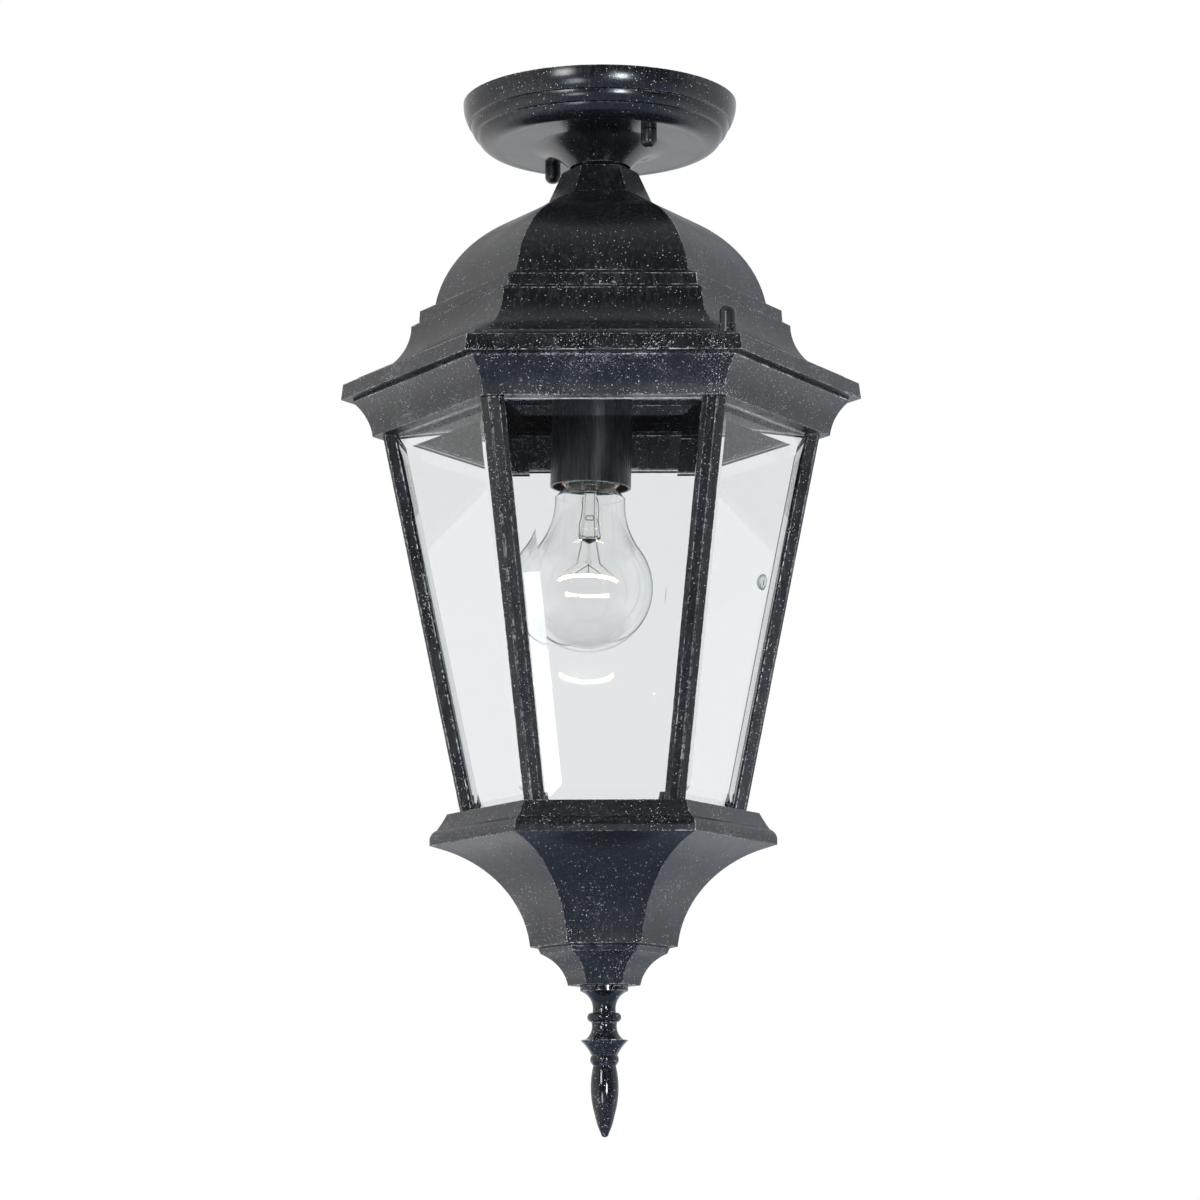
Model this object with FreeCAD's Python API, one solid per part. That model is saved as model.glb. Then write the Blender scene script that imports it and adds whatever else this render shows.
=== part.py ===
import FreeCAD, Part
import math
import os

# Ceiling lantern with a round canopy, a hexagonal roof and a tapering glazed cage.
# Millimetres. Z runs up, the ceiling is the plane z = 0 and everything hangs below it.
# A hexagon's radius is measured to its corner. Corners lie at 0, 60, 120 ... degrees,
# so one flat faces -Y (the front) and one corner faces +X.

Vec = FreeCAD.Vector
ORIGIN = Vec(0, 0, 0)
UP = Vec(0, 0, 1)
RIGHT = Vec(1, 0, 0)
FLAT = math.cos(math.radians(30))      # corner radius to flat distance
SIDES = 6

# ---- canopy: a turned, stepped pan with a trumpet-shaped bell under it ----
canopy_r = 68.2
canopy_h = 22.5
canopy_wall = 2.2
tier_step = 1.0                        # each tier steps in by this much
tier1_h = 10.4
tier1_draw = 2.6                       # how far a tier draws in over its height
tier2_h = 5.6
tier2_draw = 2.2
tier_ledge_drop = 0.4                  # slope of the narrow ledge between two tiers
tier1_swell = (0.25, 0.55)             # rounded edge: share of its draw at a share of its height
tier2_swell = (0.30, 0.55)
tier3_swell = (0.30, 0.75)
underside_r = 51.0                     # where the rounded edge meets the flat underside
bell_foot_r = 34.0
bell_end_r = 15.2
bell_h = 10.5
bell_floor_t = 3.5
bell_swell = (0.58, 0.34)

# ---- mounting plate inside the canopy ----
plate_r = 52.0
plate_t = 1.6
wire_hole_r = 11.0
box_slot_spacing = 79.4                # centre to centre of the two slots
box_slot_length = 17.5
box_slot_r = 2.4
ground_hole_r = 2.3
ground_place = (-24.0, -30.0)
ground_head_r = 4.6
ground_head_h = 3.0
ground_flange_r = 6.0
ground_flange_t = 1.0
ground_tip_gap = 0.2                   # the screw's end stays this far below the ceiling

# ---- threaded studs and cap nuts ----
stud_r = 2.08
stud_head_r = 3.3
stud_head_t = 0.8
stud_hole_clear = 0.4
thread_clear = 0.05
screw_clear = 0.1
canopy_stud_circle_r = 40.6
canopy_stud_angle = -54.3              # front right; its partner is opposite
nut_r = 3.9
nut_barrel_h = 5.2
nut_dome_h = 3.5
nut_bore_h = 6.2
nut_dome_round = 0.8                   # the dome has drawn in this much at two thirds of its height
nut_dome_flat_r = 1.3
stud_tip_gap = 0.5
seat_gap = 0.2                         # under a nut that turns on its seat

# ---- roof casting: neck, dome, two steps, flare and lip ----
roof_wall = 2.5
neck_top_r = 14.8
neck_shoulder_r = 18.9
neck_shoulder_h = 2.3
neck_base_r = 25.5
neck_h = 14.7
neck_web_t = 4.0
dome_start_r = 43.6
dome_start_h = 9.3
dome_hollow = (0.32, 0.62)             # inward and downward sag of the curve at the neck's foot
dome_r = 82.1
dome_h = 43.2
dome_mid_r = 70.4
dome_mid_h = 18.9
step_ledge_h = 3.2
step1_r = 89.7
step1_h = 5.7
step1_draft = 0.4
step2_r = 94.0
step2_rise = 2.1
flare_r = 119.9
flare_h = 25.7
flare_mid_r = 100.9
flare_mid_h = 16.6
bead_w = 1.4
lip_ledge_w = 6.3
lip_ledge_h = 2.2
lip_draw = 1.0
lip_h = 7.8
seat_flange_t = 3.3
seat_flange_drop = 0.7                 # the inner flange hangs below the lip
seat_flange_margin = 0.6
seat_opening_margin = 13.0             # the flange's opening is this much wider than the ring's
nut_pad_r = 4.4
nut_pad_setback = 3.1                  # pad centre, in from the flare's outer corner
nut_pad_rise = 2.6                     # pad face above the flare's lowest line
cage_stud_angle = -60.0                # front right corner; its partner is opposite

# ---- cage: top ring, six posts, six bevelled panes ----
roof_gap = 1.0                         # shadow line between lip and ring
lip_overhang = 5.5
ring_h = 17.6
ring_foot_draw = 10.2
ring_cove_draw = 7.2
ring_cove_h = 8.4
ring_inner_r = 97.0
cage_stud_flange_r = 4.0
cage_stud_flange_t = 1.2
cage_stud_flange_clear = 0.6
post_setback = 5.5                     # post ridge, in from the ring's foot corner
post_h = 186.9
post_foot_r = 69.0
post_half_w_top = 5.1
post_half_w_foot = 4.4
post_vee = math.radians(9.0)
post_ridge_w = 0.7                     # fine cast ridge down the post
post_ridge_t = 0.35
glass_setback = 2.6                    # outer glass face, in from the post's ridge
glass_t = 3.0
glass_edge_t = 1.2
bevel_w = 10.0
glass_clear = 0.2
glass_side_clear = 0.3
glass_groove = 2.0
web_half_w = 3.0
web_clear = 0.15
clip_t = 0.8
clip_reach = 4.6                       # long wing, from the post's middle
clip_short_reach = 3.9
clip_foot_gap = 1.2                    # wings above the cup
clip_wing_h = 3.6
clip_up = 8.0                          # clip screw above the cup
clip_tongue = 1.8                      # the clip carries on above its screw
clip_seat_gap = 0.3
clip_screw_r = 0.8
clip_screw_head_r = 1.6
clip_screw_head_t = 1.0
clip_screw_h = 4.0
post_screw_r = 1.45
post_screw_head_r = 2.6
post_screw_head_t = 1.8
post_screw_bite = 6.0
post_screw_tip_gap = 1.0
top_screw_inset = 4.2                  # screw axis, in from the post's ridge
foot_screw_inset = 3.4

# ---- bottom cup and finial ----
cup_overhang = 6.8
cup_ogee_r = 80.8
cup_ogee_h = 7.9
cup_hollow = (-0.4, 0.45)              # hollow curve under the flange: inward sag, share of height
cup_swell = (0.7, 0.4)                 # rounded curve over the lip: outward and upward bulge
cup_lip_r = 84.4
cup_lip_rise = 4.5
cup_lip_h = 3.0
cup_under_r = 79.5
cup_under_h = 1.5
funnel_foot_r = 35.7
funnel_h = 47.8
funnel_mid_r = 50.4
funnel_mid_h = 17.0
band_r = 31.8
band_foot_r = 30.6
band_rise = 0.8
band_h = 2.5
cove_foot_r = 17.5
cove_h = 15.3
cove_mid_r = 21.8
cove_mid_h = 6.2
cup_wall = 3.0
cup_flange_t = 4.0
cup_flange_inner_r = 59.0
cup_floor_h = 12.0                     # solid foot that the finial stud goes through
finial_stud_up = 9.0
finial_stud_in = 11.0
finial_nut_r = 4.6
finial_nut_h = 3.2
finial_bore_gap = 1.0
finial_flange_r = 11.6
finial_flange_t = 2.4
# Turned outline below the flange. Each row is a radius and a depth below the cup's foot.
finial_neck_via = (7.2, 5.6)
finial_neck = (5.7, 12.6)
finial_bead_top = (7.2, 13.0)
finial_bead = (8.2, 15.0)
finial_bead_foot = (7.2, 16.9)
finial_waist = (6.2, 17.4)
finial_bell_via = (6.5, 22.0)
finial_bell = (9.0, 25.4)
finial_collar = (11.6, 26.0)
finial_cone_via = (9.2, 28.4)
finial_cone = (6.2, 33.2)
finial_ball = (6.9, 35.2)
finial_ball_foot = (6.0, 37.3)
finial_drop_top = (5.5, 38.2)
finial_drop_belly = (6.7, 48.6)
finial_drop_waist = (4.8, 61.6)
finial_point_via = (3.6, 66.2)
finial_point = (1.9, 70.4)
finial_tip_via = (1.4, 71.6)
finial_tip = (0.5, 72.1)

# ---- hanging stem: it leans a little to the left, as on the photographed lantern ----
stem_lean = 1.8                        # degrees
stem_pivot_z = -20.0
nipple_r = 4.85
nipple_bore_r = 3.4
nipple_top = 21.0                      # below the ceiling, along the stem
nipple_foot = 133.0
nipple_hole_clear = 0.95
nipple_fit = 0.12                      # loose enough for square washers on the leaning stem
locknut_af = 14.0
locknut_h = 4.0
washer_r = 8.5
washer_t = 1.2

# ---- lampholder and bulb, on the leaning stem; depths are below the ceiling ----
tube_r = 19.87
tube_wall = 1.3
tube_foot = 195.1
tube_top = 137.0
cap_h = 12.0
cap_hub_r = 8.0
cap_hub_share = 0.6                    # the hub starts at this share of the cap's height
cap_shoulder = (0.86, 0.42)            # share of the tube's radius at a share of the height
cap_lip_share = 0.2
core_r = 18.35
core_top = 151.0
core_face = 164.2
core_skirt_foot = 186.0
shell_r = 14.2
shell_wall = 0.6
shell_foot = 193.4
core_fit = 0.15
tab_r = 3.4
contact_hole_clear = 1.2
base_clear = 0.4                       # bulb base in the lampholder's shell
base_wall = 0.6
base_foot = 194.0
base_shoulder = 171.0
base_neck = 168.6
base_neck_r = 8.0
button_r = 4.6
button_top = 165.6
button_t = 1.2
button_tip_r = 3.0
button_round = (0.5, 0.3)              # inward draw, share of the button's height
insulator_margin = 0.4
tab_gap = 0.2
bulb_r = 31.9
bulb_equator = 245.0
bulb_wall = 0.7
bulb_neck_r = 17.3
bulb_neck = 200.4
bulb_neck_foot = 202.2
bulb_throat_foot = 196.5
seal_top = 188.0
seal_clear = 0.2                       # bulb throat inside the metal base
throat_rise = 1.5
stem_glass_clear = 0.1
stem_flare_h = 12.0
stem_flare_via = (0.45, 4.0)           # share of the throat's radius, depth below the seal
stem_pinch = 0.4                       # share of the button's radius
stem_pinch_h = 1.5
stem_tip_r = 0.4
stem_glass_r = 3.4
stem_press = 209.0                     # the stem swells from here to its pressed foot
stem_press_r = 4.6
stem_press_draw = (0.9, 2.2)           # inward draw and height of the foot's round
stem_glass_foot = 221.5
stem_button_r = 1.7
stem_button_foot = 233.0
lead_r = 0.35
lead_start = 3.5
lead_gap = 0.5
lead_knee = (0.40, 11.5)               # share of the filament's half, depth below the stem
support_share = 0.6                    # supports are finer than the leads by this share
support_gap = 0.4
support_lean = 0.05
support_side_gap = 0.4                 # the outer supports start this much lower
filament_clear = 0.2
filament_r = 0.6
filament_half = 14.0
filament_depth = 241.4
filament_bow = 10.0                    # the filament bows level towards the front
filament_rise = 0.8
sliver = 0.001                         # sections overrun a cutting plane by this much
support_count = 3

# ---- levels, as heights, worked out from the sizes above ----
canopy_foot = -canopy_h
bell_foot = canopy_foot - bell_h
neck_base = bell_foot - neck_shoulder_h - neck_h
dome_base = neck_base - dome_start_h - dome_h
step1_top = dome_base - step_ledge_h
step2_top = step1_top - step1_h - step2_rise
flare_foot = step2_top - flare_h
lip_top = flare_foot - bead_w - lip_ledge_h
lip_foot = lip_top - lip_h
ring_top = lip_foot - roof_gap
ring_foot = ring_top - ring_h
cup_top = ring_foot - post_h
cup_lip_top = cup_top - cup_ogee_h - cup_lip_rise
cup_lip_foot = cup_lip_top - cup_lip_h
funnel_top = cup_lip_foot - cup_under_h
funnel_foot = funnel_top - funnel_h
band_top = funnel_foot - band_rise
cup_foot = band_top - band_h - cove_h

lip_r = flare_r + bead_w + lip_ledge_w + lip_draw
ring_top_r = lip_r - lip_overhang
ring_foot_r = ring_top_r - ring_foot_draw
post_top_r = ring_foot_r - post_setback
post_slope = (post_top_r - post_foot_r) / post_h
pane_tilt = math.atan(post_slope * FLAT)
glass_level_t = glass_t / math.cos(pane_tilt)
cup_top_r = post_foot_r + cup_overhang
nut_pad_face = flare_foot + nut_pad_rise
cage_stud_circle_r = flare_r - nut_pad_setback
nut_bore_r = stud_r + thread_clear
base_r = shell_r - shell_wall - base_clear
seat_inner_r = ring_inner_r + seat_opening_margin
top_screw_x = post_top_r - top_screw_inset
foot_screw_x = post_foot_r - foot_screw_inset
wing_back = glass_setback - glass_clear
web_in = glass_level_t + glass_clear + web_clear


# ---- outlines ----
def outline(start, steps):
    """Edges of a half outline in the XZ plane. A step is a point, or (via, end) for an arc."""
    edges = []
    here = Vec(start[0], 0, start[1])
    for step in steps:
        if isinstance(step[0], tuple):
            via = Vec(step[0][0], 0, step[0][1])
            end = Vec(step[1][0], 0, step[1][1])
            edges.append(Part.Arc(here, via, end).toShape())
        else:
            end = Vec(step[0], 0, step[1])
            edges.append(Part.makeLine(here, end))
        here = end
    return edges


def toward(start, end, share):
    """Point that is one share of the way across and another share of the way down."""
    return (start[0] + share[0] * (end[0] - start[0]), start[1] + share[1] * (end[1] - start[1]))


def middle(start, end, shift):
    """Midpoint of a run, moved by a shift."""
    return (0.5 * (start[0] + end[0]) + shift[0], 0.5 * (start[1] + end[1]) + shift[1])


def scaled(point, k):
    if isinstance(point[0], tuple):
        return tuple(scaled(p, k) for p in point)
    return (point[0] * k, point[1])


def section(start, steps):
    """Symmetrical closed face in the XZ plane, made from its right-hand outline."""
    right = Part.Wire(outline(start, steps))
    left = right.mirror(ORIGIN, RIGHT)
    edges = right.Edges + left.Edges
    for end in (right.Edges[0].Vertexes[0].Point, right.Edges[-1].Vertexes[-1].Point):
        if end.x > 1e-6:
            edges.append(Part.makeLine(end, Vec(-end.x, 0, end.z)))
    return Part.Face(Part.Wire(Part.__sortEdges__(edges)))


def inset(face, wall):
    """The same section, drawn in by a wall's thickness all round."""
    return Part.Face(face.makeOffset2D(-wall).Wires[0])


def turned(face):
    """Solid of revolution of a symmetrical section."""
    reach = face.BoundBox.DiagonalLength
    corner = Vec(0, 0, face.BoundBox.ZMax + 1)
    half = face.common(Part.makePlane(reach, 2 * reach, corner, Vec(0, -1, 0), Vec(0, 0, -1)))
    return half.Faces[0].revolve(ORIGIN, UP, 360)


def lathe(start, steps):
    """Solid of revolution of a right-hand outline whose ends are joined to the axis."""
    edges = outline(start, steps)
    first = edges[0].Vertexes[0].Point
    last = edges[-1].Vertexes[-1].Point
    top = Vec(0, 0, first.z)
    foot = Vec(0, 0, last.z)
    if last.x > 1e-6:
        edges.append(Part.makeLine(last, foot))
    edges.append(Part.makeLine(foot, top))
    if first.x > 1e-6:
        edges.append(Part.makeLine(top, first))
    return Part.Face(Part.Wire(Part.__sortEdges__(edges))).revolve(ORIGIN, UP, 360)


def six_sided(face):
    """Solid whose six flats all have the given section, measured across flats."""
    reach = 4 * face.BoundBox.DiagonalLength
    bar = face.extrude(Vec(0, reach, 0))
    bar.translate(Vec(0, -reach / 2, 0))
    solid = bar.copy()
    solid.rotate(ORIGIN, UP, 90)
    for angle in (30, 150):
        turned_bar = bar.copy()
        turned_bar.rotate(ORIGIN, UP, angle)
        solid = solid.common(turned_bar)
    return solid


def hexagon(radius, low, high):
    places = [around(radius, 60 * k) for k in range(SIDES + 1)]
    corners = [Vec(x, y, low) for x, y in places]
    return Part.Face(Part.makePolygon(corners)).extrude(Vec(0, 0, high - low))


def rod(radius, low, high, x=0.0, y=0.0):
    return Part.makeCylinder(radius, high - low, Vec(x, y, low))


def around(radius, angle):
    return (radius * math.cos(math.radians(angle)), radius * math.sin(math.radians(angle)))


def opposite(angle):
    return angle + 180.0


def leaning(shape):
    """Puts a piece that is drawn on the axis onto the leaning stem."""
    shape.rotate(Vec(0, 0, stem_pivot_z), Vec(0, 1, 0), stem_lean)
    return shape


def stem_x(height):
    return (height - stem_pivot_z) * math.tan(math.radians(stem_lean))


# ---- ceiling plate and its fasteners ----
def mounting_plate():
    plate = rod(plate_r, -plate_t, 0)
    plate = plate.cut(rod(wire_hole_r, -plate_t, 0))
    half_run = box_slot_length / 2 - box_slot_r
    for side in (-1, 1):
        centre = side * box_slot_spacing / 2
        corner = Vec(centre - half_run, -box_slot_r, -plate_t)
        slot = Part.makeBox(2 * half_run, 2 * box_slot_r, plate_t, corner)
        for end in (-half_run, half_run):
            slot = slot.fuse(rod(box_slot_r, -plate_t, 0, centre + end))
        plate = plate.cut(slot)
    for angle in (canopy_stud_angle, opposite(canopy_stud_angle)):
        x, y = around(canopy_stud_circle_r, angle)
        plate = plate.cut(rod(stud_r + thread_clear, -plate_t, 0, x, y))
        plate = plate.cut(rod(stud_head_r + thread_clear, -stud_head_t, 0, x, y))
    return plate.cut(rod(ground_hole_r, -plate_t, 0, ground_place[0], ground_place[1]))


def plate_stud(angle):
    x, y = around(canopy_stud_circle_r, angle)
    head = rod(stud_head_r, -stud_head_t, 0, x, y)
    tip = canopy_foot - seat_gap - nut_bore_h + stud_tip_gap
    return head.fuse(rod(stud_r, tip, 0, x, y)).removeSplitter()


def ground_screw():
    x, y = ground_place
    head = hexagon(ground_head_r, -plate_t - ground_head_h, -plate_t)
    head.translate(Vec(x, y, 0))
    flange = rod(ground_flange_r, -plate_t - ground_flange_t, -plate_t, x, y)
    shank = rod(ground_hole_r - screw_clear, -plate_t, -ground_tip_gap, x, y)
    return head.fuse([flange, shank]).removeSplitter()


def cap_nut(face, way):
    """Barrel nut with a domed end. It stands on a face and points up (1) or down (-1)."""
    full = nut_barrel_h + nut_dome_h
    shoulder = (nut_r - nut_dome_round, nut_barrel_h + 2 * nut_dome_h / 3)
    nut = lathe((nut_r, 0), [
        (nut_r, nut_barrel_h),
        (shoulder, (nut_dome_flat_r, full)),
    ])
    nut = nut.cut(rod(nut_bore_r, 0, nut_bore_h))
    if way < 0:
        nut = nut.mirror(ORIGIN, UP)
    nut.translate(Vec(0, 0, face))
    return nut


def canopy_cap_nut(angle):
    nut = cap_nut(canopy_foot - seat_gap, -1)
    x, y = around(canopy_stud_circle_r, angle)
    nut.translate(Vec(x, y, 0))
    return nut


# ---- canopy ----
def canopy_section(rise=0.0):
    """Outline of the pan: three rounded tiers, a flat underside and the bell. Its top may be raised."""
    tier1_top = (canopy_r, 0)
    tier1_foot = (canopy_r - tier1_draw, -tier1_h)
    tier2_top = (tier1_foot[0] - tier_step, tier1_foot[1])
    tier2_foot = (tier2_top[0] - tier2_draw, tier1_foot[1] - tier2_h)
    tier3_top = (tier2_foot[0] - tier_step, tier2_foot[1])
    underside = (underside_r, canopy_foot)
    bell_top = (bell_foot_r, canopy_foot)
    bell_end = (bell_end_r, bell_foot)
    steps = [
        tier1_top,
        (toward(tier1_top, tier1_foot, tier1_swell), tier1_foot),
        (tier2_top[0], tier2_top[1] - tier_ledge_drop),
        (toward(tier2_top, tier2_foot, tier2_swell), tier2_foot),
        (tier3_top[0], tier3_top[1] - tier_ledge_drop),
        (toward(tier3_top, underside, tier3_swell), underside),
        bell_top,
        (toward(bell_top, bell_end, bell_swell), bell_end),
    ]
    return section((canopy_r, rise), steps)


def canopy():
    pan = turned(canopy_section(sliver))
    pan = pan.common(rod(canopy_r + 1, bell_foot - 1, 0))
    hollow = turned(inset(canopy_section(2 * canopy_wall), canopy_wall))
    floor = bell_foot + bell_floor_t
    hollow = hollow.common(rod(canopy_r, floor, 1))
    pan = pan.cut(hollow)
    pan = pan.cut(rod(nipple_r + nipple_hole_clear, bell_foot, floor))
    for angle in (canopy_stud_angle, opposite(canopy_stud_angle)):
        x, y = around(canopy_stud_circle_r, angle)
        hole = rod(stud_r + stud_hole_clear, canopy_foot - 1, canopy_foot + canopy_wall + 1, x, y)
        pan = pan.cut(hole)
    return pan


# ---- roof ----
def roof_section(drop=0.0):
    """Outline of the roof, from the neck down to the lip. The lip may be carried on downwards."""
    neck_foot = (neck_base_r, neck_base)
    dome_top = (dome_start_r, neck_base - dome_start_h)
    sag = (-dome_hollow[0], -dome_hollow[1])
    steps = [
        (neck_shoulder_r, bell_foot - neck_shoulder_h),
        neck_foot,
        (middle(neck_foot, dome_top, sag), dome_top),
        ((dome_mid_r, dome_top[1] - dome_mid_h), (dome_r, dome_base)),
        (step1_r, step1_top),
        (step1_r + step1_draft, step1_top - step1_h),
        (step2_r, step2_top),
        ((flare_mid_r, step2_top - flare_mid_h), (flare_r, flare_foot)),
        (flare_r + bead_w, flare_foot - bead_w),
        (lip_r - lip_draw, lip_top),
        (lip_r, lip_foot),
    ]
    if drop > 0:
        steps.append((lip_r, lip_foot - drop))
    flats = [scaled(step, FLAT) for step in steps]
    return section(scaled((neck_top_r, bell_foot), FLAT), flats)


def roof():
    body = six_sided(roof_section())
    hollow = six_sided(inset(roof_section(2 * roof_wall), roof_wall))
    hollow = hollow.common(rod(2 * lip_r, lip_foot - roof_wall, bell_foot - neck_web_t))
    body = body.cut(hollow)
    flange_foot = lip_foot - seat_flange_drop
    flange = hexagon(lip_r - roof_wall, lip_foot, lip_foot + seat_flange_t)
    flange = flange.fuse(hexagon(ring_top_r - seat_flange_margin, flange_foot, lip_foot))
    flange = flange.cut(hexagon(seat_inner_r, flange_foot, lip_foot + seat_flange_t))
    pads = []
    for angle in (cage_stud_angle, opposite(cage_stud_angle)):
        x, y = around(cage_stud_circle_r, angle)
        pads.append(rod(nut_pad_r, nut_pad_face - 2 * roof_wall, nut_pad_face, x, y))
    body = body.fuse([flange] + pads)
    body = body.cut(rod(nipple_r + nipple_hole_clear, bell_foot - neck_web_t, bell_foot))
    for angle in (cage_stud_angle, opposite(cage_stud_angle)):
        x, y = around(cage_stud_circle_r, angle)
        stud_hole = rod(stud_r + stud_hole_clear, nut_pad_face - 3 * roof_wall, nut_pad_face, x, y)
        recess_r = cage_stud_flange_r + cage_stud_flange_clear
        recess = rod(recess_r, flange_foot, lip_foot + seat_flange_t, x, y)
        body = body.cut([stud_hole, recess])
    return body.removeSplitter()


def roof_cap_nut(angle):
    nut = cap_nut(nut_pad_face + seat_gap, 1)
    x, y = around(cage_stud_circle_r, angle)
    nut.translate(Vec(x, y, 0))
    return nut


# ---- hanging stem ----
def stem_nipple():
    pipe = rod(nipple_r, -nipple_foot, -nipple_top)
    return leaning(pipe.cut(rod(nipple_bore_r, -nipple_foot, -nipple_top)))


def washer(low):
    ring = rod(washer_r, low, low + washer_t)
    ring = ring.cut(rod(nipple_r + nipple_fit, low, low + washer_t))
    ring.translate(Vec(stem_x(low + washer_t / 2), 0, 0))
    return ring


def locknut(low):
    nut = hexagon(locknut_af / 2 / FLAT, low, low + locknut_h)
    nut = nut.cut(rod(nipple_r + nipple_fit, low, low + locknut_h))
    nut.translate(Vec(stem_x(low + locknut_h / 2), 0, 0))
    return nut


# ---- lampholder ----
def socket_cap():
    cap = lathe((cap_hub_r, -tube_top + cap_h), [
        (cap_hub_r, -tube_top + cap_hub_share * cap_h),
        ((cap_shoulder[0] * tube_r, -tube_top + cap_shoulder[1] * cap_h), (tube_r, -tube_top)),
    ])
    hollow = rod(tube_r - 2 * tube_wall, -tube_top, -tube_top + cap_lip_share * cap_h)
    return leaning(cap.cut([hollow, rod(nipple_r + nipple_fit, -tube_top, -tube_top + cap_h)]))


def socket_body():
    tube = rod(tube_r, -tube_foot, -tube_top)
    return leaning(tube.cut(rod(tube_r - tube_wall, -tube_foot, -tube_top)))


def socket_core():
    core = rod(core_r, -core_skirt_foot, -core_top)
    core = core.cut(rod(shell_r + core_fit, -core_skirt_foot, -core_face))
    return leaning(core)


def socket_shell():
    shell = rod(shell_r, -shell_foot, -core_face)
    shell = shell.cut(rod(shell_r - shell_wall, -shell_foot, -core_face - shell_wall))
    return leaning(shell.cut(rod(button_r + contact_hole_clear, -core_face - shell_wall, -core_face)))


def socket_contact():
    return leaning(rod(tab_r, -button_top + tab_gap, -core_face))


# ---- bulb ----
def bulb_base():
    sleeve = lathe((base_neck_r, -base_neck), [
        (base_r, -base_shoulder),
        (base_r, -base_foot),
    ])
    hollow = lathe((base_neck_r - base_wall, -base_neck), [
        (base_r - base_wall, -base_shoulder - base_wall),
        (base_r - base_wall, -base_foot),
    ])
    return leaning(sleeve.cut(hollow))


def bulb_insulator():
    top = (button_r + insulator_margin, -button_top - button_t)
    return leaning(lathe(top, [(base_neck_r - base_wall, -base_neck)]))


def bulb_contact():
    foot = (button_r, -button_top - button_t)
    via = (button_r - button_round[0], -button_top - button_round[1] * button_t)
    return leaning(lathe((button_tip_r, -button_top), [(via, foot)]))


def bulb_outline(skin):
    """Right-hand outline of the envelope, drawn in by the skin."""
    throat_r = base_r - base_wall - seal_clear - skin
    throat = (throat_r, -bulb_throat_foot + throat_rise)
    ball_r = bulb_r - skin
    neck_r = bulb_neck_r - skin
    rise = bulb_equator - bulb_neck_foot
    shoulder_r = (rise ** 2 + neck_r ** 2 - ball_r ** 2) / (2 * (ball_r - neck_r))
    turn = math.atan2(rise, neck_r + shoulder_r)
    centre = (neck_r + shoulder_r, -bulb_neck_foot)
    via = (centre[0] - shoulder_r * math.cos(turn / 2), centre[1] - shoulder_r * math.sin(turn / 2))

    def on_ball(angle):
        return (ball_r * math.cos(angle), -bulb_equator + ball_r * math.sin(angle))

    low = math.radians(45)
    return (throat_r, -seal_top), [
        throat,
        (neck_r, -bulb_neck),
        (neck_r, -bulb_neck_foot),
        (via, on_ball(turn)),
        (on_ball(turn / 2), on_ball(0)),
        (on_ball(-low), (0, -bulb_equator - ball_r)),
    ]


def bulb_glass():
    start, steps = bulb_outline(0.0)
    envelope = lathe(start, steps)
    start, steps = bulb_outline(bulb_wall)
    return leaning(envelope.cut(lathe(start, steps)))


def bulb_stem():
    start, steps = bulb_outline(bulb_wall + stem_glass_clear)
    flare_via = (stem_flare_via[0] * start[0], -seal_top - stem_flare_via[1])
    pinch_r = stem_pinch * stem_button_r
    press_edge = (stem_press_r, -stem_glass_foot + stem_press_draw[1])
    press_via = (0.5 * stem_glass_r + 0.5 * stem_press_r, 0.6 * press_edge[1] - 0.4 * stem_press)
    button = (stem_button_r, -stem_button_foot + 0.5 * stem_button_r)
    flare = lathe((start[0], -seal_top), [
        (flare_via, (stem_glass_r, -seal_top - stem_flare_h)),
        (stem_glass_r, -stem_press),
        (press_via, press_edge),
        (stem_press_r - stem_press_draw[0], -stem_glass_foot),
        (pinch_r, -stem_glass_foot - stem_pinch_h),
        (pinch_r, -stem_button_foot + stem_button_r),
        (button, (stem_tip_r, -stem_button_foot)),
    ])
    return leaning(flare)


def wire(points, radius):
    path = Part.makePolygon(points)
    run = path.Edges[0]
    way = run.Vertexes[1].Point - run.Vertexes[0].Point
    ring = Part.Wire(Part.Circle(points[0], way, radius).toShape())
    return path.makePipeShell([ring], True, False, 2)


def filament_point(x, up=0.0):
    """Point on the filament's flat bow between its two leads, or above it."""
    bow_r = (filament_half ** 2 + filament_bow ** 2) / (2 * filament_bow)
    forward = filament_bow - bow_r + math.sqrt(bow_r ** 2 - x ** 2)
    return Vec(x, -forward, -filament_depth + filament_rise * forward / filament_bow + up)


def bulb_leads():
    """Two leads and the fine supports that hold the filament up."""
    runs = []
    for side in (-1, 1):
        start = Vec(side * lead_start, 0, -stem_glass_foot - lead_gap)
        knee = Vec(side * lead_knee[0] * filament_half, 0, -stem_glass_foot - lead_knee[1])
        tip = filament_point(side * filament_half, filament_r + lead_r)
        runs.append(wire([start, knee, tip], lead_r))
    for k in range(support_count):
        x = filament_half * (k - (support_count - 1) / 2) / 2
        drop = support_gap + support_side_gap * abs(k - 1)
        start = Vec(support_lean * x, 0, -stem_button_foot - drop)
        tip = filament_point(x, filament_r + filament_clear)
        runs.append(wire([start, tip], support_share * lead_r))
    return leaning(Part.makeCompound(runs))


def bulb_filament():
    bow = Part.Arc(filament_point(-filament_half), filament_point(0), filament_point(filament_half))
    path = Part.Wire(bow.toShape())
    way = bow.tangent(bow.FirstParameter)[0]
    ring = Part.Wire(Part.Circle(bow.value(bow.FirstParameter), way, filament_r).toShape())
    return leaning(path.makePipeShell([ring], True, False))


# ---- cage ----
def post_ridge_r(height):
    """Corner radius of the posts' outer ridge at a height."""
    return post_top_r + (height - ring_foot) * post_slope


def pane_out(height):
    """Flat distance of the outer glass face at a height."""
    return post_ridge_r(height) * FLAT - glass_setback


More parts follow.
